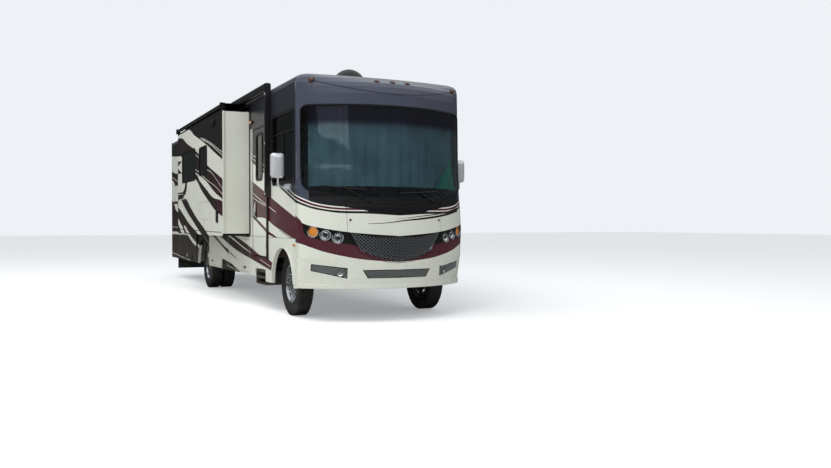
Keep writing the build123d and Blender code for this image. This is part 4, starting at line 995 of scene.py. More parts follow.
def gathered(name, path, z_low, z_high, folds, deep, finish, body, rests_on):
    """A curtain hung from a rail: the path's line in plan, with folds that open towards the hem."""
    lengths = [0.0]
    for a, b in zip(path, path[1:]):
        lengths.append(lengths[-1] + math.dist(a, b))
    grid = []
    for v in np.linspace(0.0, 1.0, HANG_STEPS + 1):
        line = []
        for u in np.linspace(0.0, 1.0, folds * FOLD_STEPS + 1):
            where = u * lengths[-1]
            k = min(int(np.searchsorted(lengths, where, side="right")) - 1, len(path) - 2)
            a, b = Vector(path[k]), Vector(path[k + 1])
            point = a.lerp(b, (where - lengths[k]) / (lengths[k + 1] - lengths[k]))
            side = Vector((-(b - a).y, (b - a).x)).normalized()
            phase = u * folds * 2 * math.pi + 0.7 * math.sin(u * 17.0)
            swing = deep * (1.0 - 0.45 * v) * math.sin(phase + 0.25 * math.sin(3 * v + 9 * u))
            point = point + side * swing
            line.append((point.x, point.y, z_low + (z_high - z_low) * v))
        grid.append(line)
    builder = bmesh.new()
    add_grid(builder, grid)
    area = sum(face.calc_area() for face in builder.faces)
    made = finish_piece(name, builder, finish, body)


# %% Curtain
CURTAIN_BACK = 0.10             # distance of the curtain behind the glass
CURTAIN_REACH = 1.21
CURTAIN_Z = (1.90, 3.03)
CURTAIN_FOLDS, FOLD_DEEP = 15, 0.013
RAIL_R, RAIL_OVER = 0.008, 0.012
curtain_path = []
for y in np.linspace(CURTAIN_REACH, -CURTAIN_REACH, 49):
    point, normal = nose_point("windshield", y, 2.4)
    back = flat_way(normal) * CURTAIN_BACK
    curtain_path.append((point.x - back.x, point.y - back.y))
sweep("curtain_rail", [(x, y, CURTAIN_Z[1] + RAIL_OVER) for x, y in curtain_path], circle(RAIL_R),
      "bright_trim", "coach")
gathered("cab_curtain", curtain_path, *CURTAIN_Z, CURTAIN_FOLDS, FOLD_DEEP, "curtain_cloth", "coach",
         ["curtain_rail"])

# %% Sun blind
# A green blind is folded into the driver's corner of the glass, wide at the foot.
BLIND_Y, BLIND_Z, BLIND_TIP = (0.700, 1.190), (1.890, 2.330), 0.72
BLIND_BACK, BLIND_FOLD = 0.055, 0.010
blind_wide, blind_high = BLIND_Y[1] - BLIND_Y[0], BLIND_Z[1] - BLIND_Z[0]
grid = []
for v in np.linspace(0.0, 1.0, 13):
    line = []
    for u in np.linspace(0.0, 1.0, 37):
        y = BLIND_Y[0] + blind_wide * (u * (1 - v) + BLIND_TIP * v + (u - 0.5) * 0.04 * v)
        fold = BLIND_FOLD * math.sin(u * 8 * math.pi) * (1 - 0.6 * v)
        x = nose_point("windshield", y, 2.3)[0].x - BLIND_BACK + fold
        line.append((x, y, BLIND_Z[0] + blind_high * v))
    grid.append(line)
builder = bmesh.new()
add_grid(builder, grid)
blind_area = sum(face.calc_area() for face in builder.faces)
blind = finish_piece("sun_blind", builder, "blind_cloth", "coach")
print("blind:", round(blind_area, 3), "square metres")

# %% [markdown]
# ## Lamps
# Each head lamp is a chromed bowl with a small projector in its middle, under a bowed
# clear lens, in a bright bezel. The bowl turns about the direction that the cap faces there.

# %% Lamp places
HEADLAMP_PLACES = ((0.850, 1.180, 0.070), (1.002, 1.222, 0.070))        # Y, Z, radius
TURN_LAMP_PLACE = (1.150, 1.262, 0.068)
CLEARANCE_Y, CLEARANCE_Z, CLEARANCE_R = (-1.120, -0.240, 0.0, 0.240, 1.120), 3.392, 0.032
LENS_BOW, LENS_T = 0.011, 0.003
lamp_meshes = {form: bmesh.new() for form in ("lens", "bowl", "ball", "bezel", "amber", "seat")}


def lamp_axis(y, z, node):
    """Top of a lamp's lens and the direction it faces."""
    point, normal = nose_point(node, y, z)
    return point, flat_way(normal)


def walled(bow):
    """A lens profile: its outer face, and its inner one on the way back."""
    return bow + [(radius, along - LENS_T) for radius, along in reversed(bow)]


def turned(form, profile, top, facing, steps=48):
    """Adds one turned profile to the mesh of a kind of form."""
    add_lathe(lamp_meshes[form], profile, top, steps, axis=facing)


def add_bezel(top, facing, r):
    """The bright ring round a lamp."""
    low = -LENS_BOW - 0.002
    turned("bezel", [(r + 0.001, low), (r + 0.001, 0.0), (r + 0.004, 0.0035), (r + 0.009, 0.0035),
                     (r + 0.013, 0.0), (r + 0.014, low)], top, facing)


# %% Head lamps
def head_lamp(top, facing, r):
    """A bowed lens over a bowl with a small projector in its middle."""
    bow = [(r * f, -LENS_BOW * f * f) for f in (1.0, 0.85, 0.6, 0.3, 0.02)]
    turned("lens", walled(bow), top, facing)
    turned("bowl", [(r - 0.002, -LENS_BOW - 0.004), (r * 0.9, -0.022), (r * 0.62, -0.036), (r * 0.46, -0.040),
                    (r * 0.46, -0.022), (r * 0.38, -0.019), (r * 0.36, -0.022), (r * 0.36, -0.046),
                    (r - 0.001, -0.046)], top, facing)
    turned("ball", [(r * 0.34 * math.sin(a), -0.034 + r * 0.22 * math.cos(a))
                    for a in np.linspace(0.03, math.pi - 0.03, 9)], top, facing, 24)


for side, sign in SIDES:
    for y, z, r in HEADLAMP_PLACES:
        top, facing = lamp_axis(sign * y, z, "front_lamps")
        add_bezel(top, facing, r)
        head_lamp(top, facing, r)
print("head lamps:", 2 * len(HEADLAMP_PLACES))

# %% Turn lamps and clearance lamps
for side, sign in SIDES:
    y, z, r = TURN_LAMP_PLACE
    top, facing = lamp_axis(sign * y, z, "marker_lamps")
    add_bezel(top, facing, r)
    dome = [(r * f, 0.002 - LENS_BOW * f * f) for f in (0.01, 0.3, 0.6, 0.85, 1.0)]
    turned("amber", dome + [(r, -0.02), (0.001, -0.02)], top, facing)
for y in CLEARANCE_Y:
    r = CLEARANCE_R
    point, normal = nose_point("upper_cap", y, CLEARANCE_Z)
    ball = [(r * math.sin(a), r * 0.75 * math.cos(a)) for a in np.linspace(0.02, math.pi / 2, 8)]
    turned("amber", ball + [(r, -0.01), (0.001, -0.01)], point, normal, 32)
    turned("seat", [(r + 0.001, 0.001), (r + 0.001, 0.006), (r + 0.009, 0.006), (r + 0.012, 0.001)],
           point, normal, 32)
print("clearance lamps:", len(CLEARANCE_Y))

# %% Lamp pieces
LAMP_PIECES = (("amber_lamps", "amber", "amber_lens"), ("clearance_lamp_seats", "seat", "gasket"),
               ("head_lamp_lenses", "lens", "clear_lens"), ("head_lamp_bowls", "bowl", "reflector"),
               ("lamp_bezels", "bezel", "bright_trim"), ("head_lamp_projectors", "ball", "gasket"))
lamp_pieces = {name: finish_piece(name, lamp_meshes[form], finish, "coach")
               for name, form, finish in LAMP_PIECES}
stands_for("marker_lamps")
stands_for("front_lamps")
print("lamp pieces:", len(lamp_pieces))


# %% Screen helpers
def inside_quad(outline):
    """A test for points inside a convex (Y, Z) outline that runs anticlockwise."""
    edges = list(zip(outline, outline[1:] + outline[:1]))

    def test(y, z):
        return all((by - ay) * (z - az) - (bz - az) * (y - ay) > 0 for (ay, az), (by, bz) in edges)
    return test


def add_screen(builder, node, inside, centre, reach, pitch, bar, angle, lift, step=0.012):
    """Crossed bars that follow the nose wherever a test of (Y, Z) says that they are inside."""
    forward = Vector((1.0, 0.0, 0.0))
    for tilt in (angle, math.pi - angle):
        direction = Vector((math.cos(tilt), math.sin(tilt)))
        across = Vector((-direction.y, direction.x))
        count = int(reach / pitch)
        for k in range(-count, count + 1):
            start = Vector(centre) + across * pitch * (k + 0.5)
            path = []
            for t in np.arange(-reach, reach + step, step):
                y, z = start + direction * t
                point = nose_point(node, y, z)[0] if inside(y, z) else None
                if point is not None:
                    path.append(point + forward * lift)
                elif path:
                    if len(path) > 1:
                        add_sweep(builder, path, square_bar(bar), up=[forward] * len(path))
                    path = []


# %% Screen of the lower slot
SCREEN_PITCH, SCREEN_BAR, SCREEN_ANGLE, SCREEN_STEP = 0.016, 0.0045, math.radians(40), 0.02
SLOT = ((-0.450, 0.615), (0.450, 0.615), (0.526, 0.728), (-0.526, 0.728))
nose_patch("lower_slot_back", "front_fascia", SLOT, 0.004, "deep_black", "coach", rows=2)
builder = bmesh.new()
add_screen(builder, "front_fascia", inside_quad(list(SLOT)), (0.0, 0.67), 0.62, SCREEN_PITCH, SCREEN_BAR,
           SCREEN_ANGLE, 0.008, SCREEN_STEP)
slot_screen = finish_piece("lower_slot_screen", builder, "screen", "coach", smooth=False)
print("lower slot screen:", len(slot_screen.data.polygons), "faces")

# %% Fog lamps in their screens
FOG = ((0.722, 0.616), (1.157, 0.720), (1.157, 0.808), (0.722, 0.753))
FOG_LAMP = (0.815, 0.700, 0.050)
FOG_MIDDLE, FOG_REACH, FOG_FORWARD = (0.94, 0.72), 0.32, 0.016
screens, glasses, bowls = bmesh.new(), bmesh.new(), bmesh.new()
for side, sign in SIDES:
    corners = [(sign * y, z) for y, z in FOG]
    nose_patch(f"fog_back_{side}", "front_lamps", corners, 0.001, "deep_black", "coach", columns=10)
    add_screen(screens, "front_lamps", inside_quad(corners[::sign]), (sign * FOG_MIDDLE[0], FOG_MIDDLE[1]),
               FOG_REACH, SCREEN_PITCH, SCREEN_BAR, SCREEN_ANGLE, 0.006, SCREEN_STEP)
    y, z, r = FOG_LAMP
    top, facing = lamp_axis(sign * y, z, "front_lamps")
    top.x += FOG_FORWARD
    add_lathe(bowls, [(r, -0.012), (r, 0.003), (r + 0.007, 0.003), (r + 0.007, -0.012)], top, 40, axis=facing)
    add_lathe(bowls, [(0.002, -0.010), (r, -0.004), (r, -0.012), (0.002, -0.013)], top, 40, axis=facing)
    bow = [(r * f, 0.001 - 0.004 * f * f) for f in (1.0, 0.7, 0.4, 0.02)]
    add_lathe(glasses, walled(bow), top, 40, axis=facing)
finish_piece("fog_screens", screens, "screen", "coach", smooth=False)
finish_piece("fog_bowls", bowls, "reflector", "coach")
finish_piece("fog_lenses", glasses, "clear_lens", "coach")
print("fog lamps at", FOG_LAMP[:2])

# %% [markdown]
# ## Hood
# A dark baffle closes the space behind the mesh grille, and a small black lock with a raised
# rim sits in each upper corner of the hood. Both lift with it.

# %% Grille baffle
HOOD_LEVEL = 1.42
BAFFLE_BACK, BAFFLE_T = 0.060, 0.004
BAFFLE = ((0.10, 0.870), (0.35, 0.905), (0.53, 1.000), (0.66, 1.200), (0.67, 1.235))     # half width, Z
rows = [[(nose_point("front_hood", y, HOOD_LEVEL)[0].x - BAFFLE_BACK, y, z)
         for y in np.linspace(-half, half, 25)] for half, z in BAFFLE]
builder = bmesh.new()
add_grid(builder, rows)
baffle = finish_piece("grille_baffle", builder, "deep_black", None)
modified(baffle, "SOLIDIFY", thickness=BAFFLE_T)
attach(baffle, "hood")
print("baffle:", len(baffle.data.polygons), "faces")

# %% Grille outline
GRILLE_TOP_Z = 1.180                            # height of the upper edge in the middle
GRILLE_CORNER, GRILLE_SIDE = (0.690, 1.250), (0.545, 1.000)
GRILLE_LOW = 0.850


def side_width(z):
    """Half the grille's width at a height: the side edges lean in from the upper corners."""
    if z > GRILLE_SIDE[1]:
        share = (z - GRILLE_SIDE[1]) / (GRILLE_CORNER[1] - GRILLE_SIDE[1])
        return GRILLE_SIDE[0] + (GRILLE_CORNER[0] - GRILLE_SIDE[0]) * share
    share = (GRILLE_SIDE[1] - z) / (GRILLE_SIDE[1] - GRILLE_LOW)
    return GRILLE_SIDE[0] * math.sqrt(max(1.0 - share ** 1.7, 0.0))


def grille_top(y):
    return arc_height(abs(y), GRILLE_TOP_Z, *GRILLE_CORNER)


def in_grille(y, z):
    return z > GRILLE_LOW and abs(y) < side_width(z) and z < grille_top(y)


# %% Grille lattice
LATTICE_PITCH, LATTICE_BAR, LATTICE_ANGLE, LATTICE_LIFT = 0.034, 0.0085, math.radians(42), 0.002
builder = bmesh.new()
add_screen(builder, "hood_grille", in_grille, (0.0, 1.05), 0.80, LATTICE_PITCH, LATTICE_BAR, LATTICE_ANGLE,
           LATTICE_LIFT)
lattice = finish_piece("grille_lattice", builder, "lattice", "hood", smooth=False)
stands_for("hood_grille")
print("lattice:", len(lattice.data.polygons), "faces")

# %% Grille rim
RIM_BAR = 0.012
rim_path = [(y, grille_top(y)) for y in np.linspace(-0.685, 0.685, 25)]
for share in np.linspace(0.04, 1.0, 18):
    z = GRILLE_CORNER[1] + (GRILLE_LOW - GRILLE_CORNER[1]) * share
    rim_path.append((side_width(z), z))
rim_path += [(-y, z) for y, z in rim_path[-2:24:-1]]
rim = [nose_point("hood_grille", y * 0.995, min(max(z, GRILLE_LOW + 0.004), 1.246))[0] for y, z in rim_path]
rim = [point for point in rim if point is not None]
sweep("grille_rim", rim, square_bar(RIM_BAR), "lattice", "hood", closed=True, up=Vector((1.0, 0.0, 0.0)))
print("grille rim:", len(rim), "points")

# %% Hood locks
HOOD_LOCK = (0.690, 1.425)
LOCK = [(0.001, 0.003), (0.010, 0.003), (0.011, 0.006), (0.015, 0.006), (0.017, -0.002), (0.001, -0.002)]
for side, sign in SIDES:
    top, facing = lamp_axis(sign * HOOD_LOCK[0], HOOD_LOCK[1], "front_hood")
    lathe(f"hood_lock_{side}", LOCK, top, "gasket", "hood", 24, axis=facing)
print("hood locks at", HOOD_LOCK)

# %% [markdown]
# ## Side windows and doors
# Frames lie on the wall round each window. The cab's side window slides in two halves, so
# a bar crosses it. The entry door has its window and a recessed handle, with white jamb strips beside it.

# %% Window frames
CAB_WINDOW = (3.830, 4.930, 1.980, 3.000)       # x0, x1, z0, z1
CAB_BARS = (((3.85, 4.91), (0.001, 0.007), (2.700, 2.722)), ((4.36, 4.385), (0.001, 0.007), (2.00, 2.70)))
BEDROOM_WINDOW = (-4.500, -3.500, 2.150, 2.850)
DOOR_WINDOW = (2.870, 3.240, 2.090, 2.830)
SLIDE_WINDOWS = {"curb": ((-1.370, 0.040, 2.230, 2.830), (0.435, 1.147, 2.290, 2.790)),
                 "road": ((-1.250, 0.100, 2.150, 2.850), (1.100, 2.450, 2.000, 2.850))}
SLIDE_FACE = 1.745
for side, sign in SIDES:
    wall_loop(f"cab_window_frame_{side}", CAB_WINDOW, 0.001, sign, "gasket", "coach", 0.050, 0.009)
    wall_blocks(f"cab_window_bars_{side}", CAB_BARS, "gasket", "coach", 0.002, sign)
wall_loop("bedroom_window_frame", BEDROOM_WINDOW, 0.001, 1, "gasket", "coach", 0.045, 0.009)
for side, sign in SIDES:
    for number, opening in enumerate(SLIDE_WINDOWS[side], start=1):
        wall_loop(f"slide_window_frame_{side}_{number}", opening, 0.0, sign, "gasket", f"slide_room_{side}",
                  0.040, 0.009, wall=SLIDE_FACE)
wall_loop("door_window_frame", DOOR_WINDOW, 0.001, -1, "gasket", "entry_door", 0.036, 0.010)
print("window frames on the walls, at", WALL_Y, "and", SLIDE_FACE)

# %% Door seal and handle
DOOR_OUTLINE = (2.640, 3.460, 0.840, 2.940)
HANDLE = (2.730, 2.870, 1.450, 1.700)
wall_loop("entry_door_seal", DOOR_OUTLINE, 0.0005, -1, "gasket", "coach", 0.014, 0.003, 0.05)
wall_loop("door_handle_rim", HANDLE, 0.0015, -1, "gasket", "entry_door", 0.016, 0.006, 0.02)
print("door seal round", DOOR_OUTLINE)

# %% Blocks on the kerb-side wall: name, finish, body, bevel, then X, outward and Z of each block
JAMB_Z = (1.180, 2.960)
MARKER = (((4.860, 4.950), (0.001, 0.016), (1.055, 1.085)),)
FITTINGS = (
    ("door_handle_plate", "satin_black", "entry_door", 0.001,
     (((2.738, 2.862), (0.0015, 0.0045), (1.458, 1.692)),)),
    ("door_handle", "bright_trim", "entry_door", 0.003,
     (((2.760, 2.790), (0.0055, 0.0255), (1.500, 1.640)), ((2.800, 2.850), (0.0045, 0.0115), (1.655, 1.685)),
      ((2.805, 2.845), (0.0045, 0.0135), (1.475, 1.500)))),
    ("entry_jamb_strips", "white_trim", "coach", 0.002,
     (((2.530, 2.545), (0.001, 0.010), JAMB_Z), ((2.605, 2.620), (0.001, 0.010), JAMB_Z))),
    ("slide_jamb", "gasket", "coach", 0.002, (((2.430, 2.515), (0.001, 0.006), (1.180, 3.360)),)),
    ("porch_lamp_base", "satin_black", "coach", 0.006, (((2.500, 2.640), (0.001, 0.018), (3.045, 3.105)),)),
    ("porch_lamp_lens", "amber_lens", "coach", 0.008, (((2.515, 2.625), (0.019, 0.036), (3.055, 3.095)),)),
    ("side_marker", "amber_lens", "coach", 0.006, MARKER),
)
for name, finish, body, bevel, boxes in FITTINGS:
    wall_blocks(name, boxes, finish, body, bevel)
wall_blocks("side_marker_road", MARKER, "amber_lens", "coach", 0.006, sign=1)
print("fittings on the wall:", len(FITTINGS) + 1)

# %% [markdown]
# ## Slide-out rooms
# A wiper seal of black rubber lies on the wall round each slide-out's opening. The fabric
# topper over the room is a stretched sheet from the wall to the roller.

# %% Slide-out seals
ROOM_X = {"curb": (-1.870, 2.381), "road": (-1.870, 2.900)}
ROOM_Z = (1.178, 3.274)
SEAL_W, SEAL_T, SEAL_GAP = 0.060, 0.003, 0.045
for side, sign in SIDES:
    x0, x1 = ROOM_X[side]
    opening = (x0 - SEAL_GAP, x1 + SEAL_GAP, ROOM_Z[0] - 0.002, ROOM_Z[1] + SEAL_GAP)
    wall_loop(f"slide_seal_{side}", opening, 0.001, sign, "gasket", "coach", SEAL_W, SEAL_T, 0.02)
print("slide-out seals:", len(ROOM_X))

# %% Fittings on the kerb-side room
room_face = 0.002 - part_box("slide_glass_curb")[0][1]
ACCESS_DOOR = (0.470, 1.500, 1.450, 1.770)
ROOM_FITTINGS = (("outlet_cover", 0.006, ((1.920, 2.070), (0.0, 0.020), (1.390, 1.600))),
                 ("awning_light", 0.010, ((1.510, 1.830), (0.0, 0.030), (3.075, 3.190))))
wall_loop("access_door_line", ACCESS_DOOR, 0.0, -1, "white_trim", "slide_room_curb", 0.012, 0.004, 0.03,
          wall=room_face)
for name, bevel, place in ROOM_FITTINGS:
    wall_blocks(name, [place], "satin_black", "slide_room_curb", bevel, wall=room_face)
print("room's face at", round(room_face, 4))

# %% Toppers
TOPPER_Z, TOPPER_SAG = 3.404, 0.002
TOPPER_Y, TOPPER_W = (1.297, 1.742), 0.447      # from the wall to the roller, and the cloth between them
for side, sign in SIDES:
    low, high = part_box(f"topper_{side}")
    grid = []
    for v in np.linspace(0.0, 1.0, 13):
        y = sign * (TOPPER_Y[0] + (TOPPER_Y[1] - TOPPER_Y[0]) * v)
        grid.append([(low[0] + (high[0] - low[0]) * u, y,
                      TOPPER_Z - TOPPER_SAG * math.sin(math.pi * v) * (0.7 + 0.3 * math.sin(7 * u * math.pi)))
                     for u in np.linspace(0.0, 1.0, 49)])
    builder = bmesh.new()
    add_grid(builder, grid)
    topper = finish_piece(f"topper_sheet_{side}", builder, "topper_cloth", "coach")
    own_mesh(topper)
    stands_for(f"topper_{side}")
    print(f"topper_sheet_{side} is", round(high[0] - low[0], 3), "m long")

# %% [markdown]
# ## Mirrors
# Each mirror is a tall chromed shell on a bent arm. Its glass faces the driver, in two
# panes, the lower one for the kerb.

# %% Mirror sizes and shell
MIRROR_X, MIRROR_Y, MIRROR_Z = (4.680, 4.790), (1.385, 1.580), (2.030, 2.385)
MIRROR_LEVELS = ((0.0, 0.0), (0.35, 0.0), (0.60, 0.006), (0.80, 0.018), (0.93, 0.036), (1.0, 0.062))
MIRROR_ARM = ((4.735, 1.480, 2.040), (4.735, 1.480, 1.935), (4.728, 1.465, 1.915), (4.690, 1.385, 1.900),
              (4.650, 1.312, 1.893))
ARM_R = 0.016
PANES_Z = ((2.150, 2.365), (2.045, 2.135))


def add_mirror_shell(builder, sign):
    """A shell with well-rounded front edges: rounded outlines that shrink towards the front."""
    rings = []
    for share, inset in MIRROR_LEVELS:
        x = MIRROR_X[0] + (MIRROR_X[1] - MIRROR_X[0]) * share
        outline = rounded_outline(MIRROR_Y[0] + inset, MIRROR_Y[1] - inset, MIRROR_Z[0] + inset,
                                  MIRROR_Z[1] - inset, max(0.045 - inset * 0.3, 0.02))
        rings.append([(x, sign * y, z) for y, z in outline])
    rings = add_rings(builder, rings, closed=False)
    builder.faces.new(rings[0])
    builder.faces.new(rings[-1])


# %% Mirrors
for side, sign in SIDES:
    builder = bmesh.new()
    add_mirror_shell(builder, sign)
    add_sweep(builder, [(x, sign * y, z) for x, y, z in MIRROR_ARM], circle(ARM_R, 12),
              up=Vector((0.3, sign * 0.5, 0.1)))
    add_block(builder, (4.560, sign * 1.296, 1.860), (4.740, sign * 1.322, 1.950))
    shell = finish_piece(f"mirror_shell_{side}", builder, "chrome_shell", "coach")
    if side == "curb":
        stands_for("mirrors")
    panes = [((MIRROR_X[0] - 0.002, sign * 1.400, z0), (MIRROR_X[0] - 0.006, sign * 1.565, z1))
             for z0, z1 in PANES_Z]
    blocks(f"mirror_glass_{side}", panes, "reflector", "coach", bevel=0.001)
print("mirrors:", len(SIDES), "with", len(PANES_Z), "panes each")

# %% [markdown]
# ## Patio awning
# The awning is folded: its fabric is rolled on a long tube under the roof edge, between two
# arms. The rear arm repeats the front one.

# %% Awning
AWNING_FRONT, AWNING_REAR = 3.737, -2.300
ARM_W, ARM_OUT = 0.100, 0.081
strut = AWNING_REAR + 0.190
case_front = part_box("awning")[0][0] - 0.001
wall_blocks("awning_rear_arm", (((AWNING_REAR, case_front), (0.001, 0.106), (3.425, 3.550)),
                                ((AWNING_REAR, AWNING_REAR + ARM_W), (0.001, ARM_OUT), (1.790, 3.424)),
                                ((AWNING_REAR + ARM_W, strut), (0.001, 0.027), (1.860, 1.900)),
                                ((strut - 0.040, strut), (0.001, 0.027), (0.810, 1.859))),
            "satin_black", "coach", 0.006)
arm_x, arm_face = AWNING_FRONT - ARM_W / 2, ARM_OUT + 0.001
channel = ((arm_x - 0.020, arm_x + 0.020), (arm_face, arm_face + 0.006), (1.870, 3.350))
wall_blocks("awning_arm_channel", [channel], "black_trim", "coach", 0.002)
BOLT = [(0.001, 0.0), (0.016, 0.0), (0.016, -0.007), (0.010, -0.011), (0.001, -0.011)]
for number, z in enumerate((1.835, 2.620, 3.385), start=1):
    lathe(f"awning_arm_bolt_{number}", BOLT, (arm_x, -WALL_Y - arm_face, z), "bright_trim", "coach", 16)
print("awning case runs from", AWNING_REAR, "to", round(case_front, 3))

# %% [markdown]
# ## Wheel arches and lower body
# A moulded lip runs round each wheel arch.

# %% Arch lips
# Each arch: its end, X, radius, and how far its foot is above the skirt's edge
ARCHES = (("front", FRONT_X, 0.540, 0.055), ("rear", REAR_X, 0.560, 0.052))
LIP_W, LIP_OUT = 0.038, 0.010
skirt_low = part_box("skirts")[0][2]
for side, sign in SIDES:
    for end, axle_x, r, foot in ARCHES:
        start = math.asin((skirt_low + foot - TYRE_R) / r)
        middle = r + LIP_W / 2
        path = [(axle_x + middle * math.cos(a), sign * (WALL_Y + 0.001), TYRE_R + middle * math.sin(a))
                for a in np.linspace(start, math.pi - start, 49)]
        sweep(f"arch_lip_{end}_{side}", path, flat_strip(LIP_W, LIP_OUT), "cream_paint", "coach",
              up=Vector((0, sign, 0)))
print("skirts start at", round(skirt_low, 3))

# %% Bumper lip
# Its path is where level lines thrown inward from all round meet the cap.
LIP_Z, LIP_HIGH, LIP_DEEP = 0.500, 0.070, 0.012
RING_MIDDLE, RING_REAR_X = (4.40, 0.0), 4.97
ring = []
for a in np.linspace(-1.12, 1.12, 81):
    way = Vector((math.cos(a), math.sin(a), 0.0))
    point, _ = hit("front_fascia", Vector((*RING_MIDDLE, LIP_Z)) + way * 4.0, -way)
    if point is not None and point.x > RING_REAR_X:
        ring.append(point)
section = [(0.0, -LIP_HIGH / 2), (LIP_DEEP * 0.8, -LIP_HIGH / 2 + 0.006), (LIP_DEEP, 0.0),
           (LIP_DEEP, LIP_HIGH / 2 - 0.008), (0.004, LIP_HIGH / 2), (0.0, LIP_HIGH / 2)]
sweep("bumper_lip", ring, section, "slate_paint", "coach")
print("bumper lip:", len(ring), "points")

# %% Bay door latches
LATCH_IN, LATCH_HALF, LATCH_Z = 0.28, 0.045, (0.600, 0.636)
for side, sign in SIDES:
    for number in (1, 2, 3):
        low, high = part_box(f"bay_door_{side}_{number}")
        face = high[1] if sign > 0 else -low[1]
        plates = [((x - LATCH_HALF, x + LATCH_HALF), (0.001, 0.008), LATCH_Z)
                  for x in (low[0] + LATCH_IN, high[0] - LATCH_IN)]
        wall_blocks(f"bay_latches_{side}_{number}", plates, "satin_black", f"bay_door_{side}_{number}", 0.003,
                    sign, face)
print("latches at Z", LATCH_Z)

# %% Roof vents
VENT_X, VENT_HALF, VENT_HIGH = (-4.300, -0.900, 2.700), 0.200, 0.090
roof_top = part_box("roof")[1][2]
vents = [((x - VENT_HALF, -VENT_HALF, roof_top + 0.001), (x + VENT_HALF, VENT_HALF, roof_top + VENT_HIGH))
         for x in VENT_X]
blocks("roof_vents", vents, "white_trim", "coach", bevel=0.030)
print("vents on the roof at", round(roof_top, 3))

# %% [markdown]
# ## Cab seats
# Foam cushions bulge between their seams. Each cushion is a rounded block that cloth
# pressure puffs up a little, and the movement is capped so that the seat keeps its size.

# %% Cushion helper
PUFF, PUFF_FRAMES, PUFF_PRESSURE = 0.010, 20, 4.0
VOXEL = 0.022


def puff(made):
    """Cloth pressure swells the cushion, and no point moves further than the cap."""
    rest = [v.co.copy() for v in made.data.vertices]
    cloth = made.modifiers.new("puff", "CLOTH")
    cloth.settings.use_pressure = True
    cloth.settings.uniform_pressure_force = PUFF_PRESSURE
    cloth.settings.effector_weights.gravity = 0.0
    for frame_number in range(1, PUFF_FRAMES + 1):
        bpy.context.scene.frame_set(frame_number)
    bake_modifiers(made)
    bpy.context.scene.frame_set(1)
    for vertex, place in zip(made.data.vertices, rest):
        move = vertex.co - place
        vertex.co = place + move * min(1.0, PUFF / max(move.length, 1e-9))


def cushion(name, low, high, edge):
    """One puffed cushion between two corners."""
    builder = bmesh.new()
    add_block(builder, low, high)
    made = finish_piece(name, builder, "seat_leather", None, bevel=edge, smooth=False)
    modified(made, "REMESH", mode="VOXEL", voxel_size=VOXEL)
    puff(made)
    modified(made, "SUBSURF", levels=1, render_levels=1)
    made.data.polygons.foreach_set("use_smooth", [True] * len(made.data.polygons))
    return made


# %% Cushions
SEAT_Y = {"curb": -0.590, "road": 0.570}
parts, supports = [], []
for side, y in SEAT_Y.items():
    parts += [cushion(f"seat_base_{side}", (3.900, y - 0.260, 1.500), (4.390, y + 0.260, 1.660), 0.05),
              cushion(f"seat_back_{side}", (3.805, y - 0.250, 1.640), (3.950, y + 0.250, 2.180), 0.05),
              cushion(f"seat_head_{side}", (3.815, y - 0.130, 2.190), (3.915, y + 0.130, 2.320), 0.035)]
    supports += [((3.960, y - 0.150, 1.152), (4.320, y + 0.150, 1.495)),
                 ((3.900, y - 0.295, 1.800), (4.280, y - 0.262, 1.850)),
                 ((3.900, y + 0.262, 1.800), (4.280, y + 0.295, 1.850))]
cushions = parts[0]
join_into(cushions, parts[1:])
cushions.name = "cab_seat_cushions"
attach(cushions, "coach")
stands_for("cab_seats")
blocks("cab_seat_supports", supports, "dash_plastic", "coach", bevel=0.008)
print("cushions:", len(parts), "in", len(cushions.data.polygons), "faces")

# %% [markdown]
# ## Floor and light
# A pale floor and a soft overcast sky, as on the day of the photograph: light comes from
# everywhere, a little more from above. The world shows pale to the camera and in mirrors.

# %% Floor
FLOOR_SIZE = 160.0
FLOOR_PALE, FLOOR_MIRRORED = srgb(232, 232, 230), srgb(84, 88, 80)   # as seen, and as mirrored in the paint
FLOOR_LIFT = 0.30               # paleness that only the camera sees
SKY_TONE = (0.93, 0.96, 1.0, 1.0)
h = FLOOR_SIZE / 2
floor_mesh = bpy.data.meshes.new("floor")
floor_mesh.from_pydata([(-h, -h, 0), (h, -h, 0), (h, h, 0), (-h, h, 0)], [], [(0, 1, 2, 3)])
floor = bpy.data.objects.new("floor", floor_mesh)
bpy.context.scene.collection.objects.link(floor)
floor_material = material("floor", FLOOR_PALE, 0.9, mottle=0.0)
floor_shader = floor_material.node_tree.nodes["Principled BSDF"]
nodes = Tree(floor_material.node_tree)
rays = nodes.add("ShaderNodeLightPath").outputs
nodes.put(floor_shader.inputs["Base Color"], nodes.mix(rays["Is Glossy Ray"], FLOOR_PALE, FLOOR_MIRRORED))
floor_shader.inputs["Emission Color"].default_value = SKY_TONE
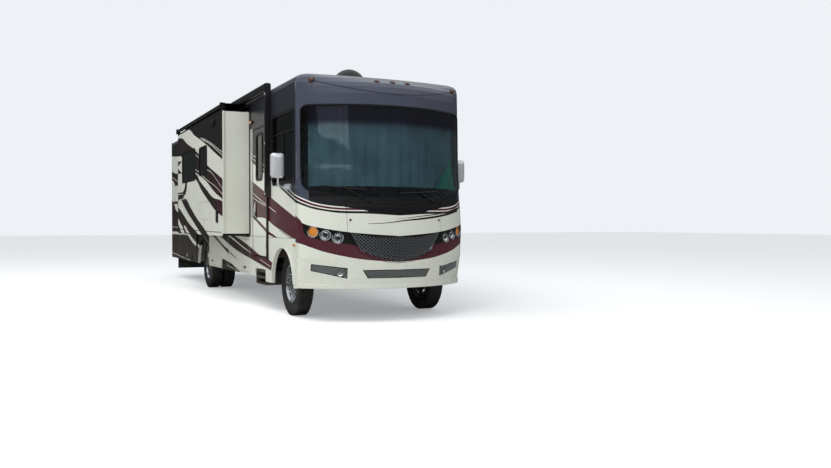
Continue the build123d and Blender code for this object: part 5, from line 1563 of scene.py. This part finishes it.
nodes.put(floor_shader.inputs["Emission Strength"], nodes.math("MULTIPLY", rays["Is Camera Ray"], FLOOR_LIFT))
floor_mesh.materials.append(floor_material)
print("floor:", FLOOR_SIZE, "m square")

# %% World
SKY_LIGHT, SKY_SEEN = 0.62, 0.92
HORIZON_GLOSS, ZENITH_GLOSS = 0.05, 0.80     # what mirrors see: dim walls low down, soft light above
GLOSS_FROM, GLOSS_TO = 0.16, 0.60            # heights on the sky's dome between which the light grows
world = bpy.data.worlds.new("sky")
bpy.context.scene.world = world
world.use_nodes = True
nodes = Tree(world.node_tree)
background = world.node_tree.nodes["Background"]
rays = nodes.add("ShaderNodeLightPath").outputs
seen = nodes.math("MAXIMUM", rays["Is Camera Ray"], rays["Is Transmission Ray"])
direction = nodes.add("ShaderNodeSeparateXYZ", {0: nodes.add("ShaderNodeTexCoord").outputs["Generated"]})
glossy = nodes.ramp(direction.outputs[2], GLOSS_FROM, GLOSS_TO, HORIZON_GLOSS, ZENITH_GLOSS)
strength = nodes.math("ADD", SKY_LIGHT, nodes.math("MULTIPLY", seen, SKY_SEEN - SKY_LIGHT))
extra = nodes.math("MULTIPLY", rays["Is Glossy Ray"], nodes.math("SUBTRACT", glossy, SKY_LIGHT))
background.inputs["Color"].default_value = SKY_TONE
nodes.put(background.inputs["Strength"], nodes.math("ADD", strength, extra))
print("sky:", SKY_LIGHT, "on the coach,", SKY_SEEN, "as seen")


# %% Lamps
def lamp(name, place, target, size, power):
    """A large soft lamp that looks at a target and isn't mirrored in the paint."""
    data = bpy.data.lights.new(name, "AREA")
    data.shape = "RECTANGLE"
    data.size, data.size_y = size
    data.energy = power
    made = bpy.data.objects.new(name, data)
    made.location = place
    made.rotation_euler = (Vector(target) - Vector(place)).to_track_quat("-Z", "Y").to_euler()
    made.visible_glossy = False
    bpy.context.scene.collection.objects.link(made)
    print(name, "at", place)


lamp("sky_softbox", (4.0, -6.0, 13.0), (1.0, 0.0, 1.0), (14.0, 10.0), 1500.0)
lamp("front_softbox", (16.0, -9.0, 8.0), (3.0, 0.0, 1.5), (8.0, 6.0), 500.0)
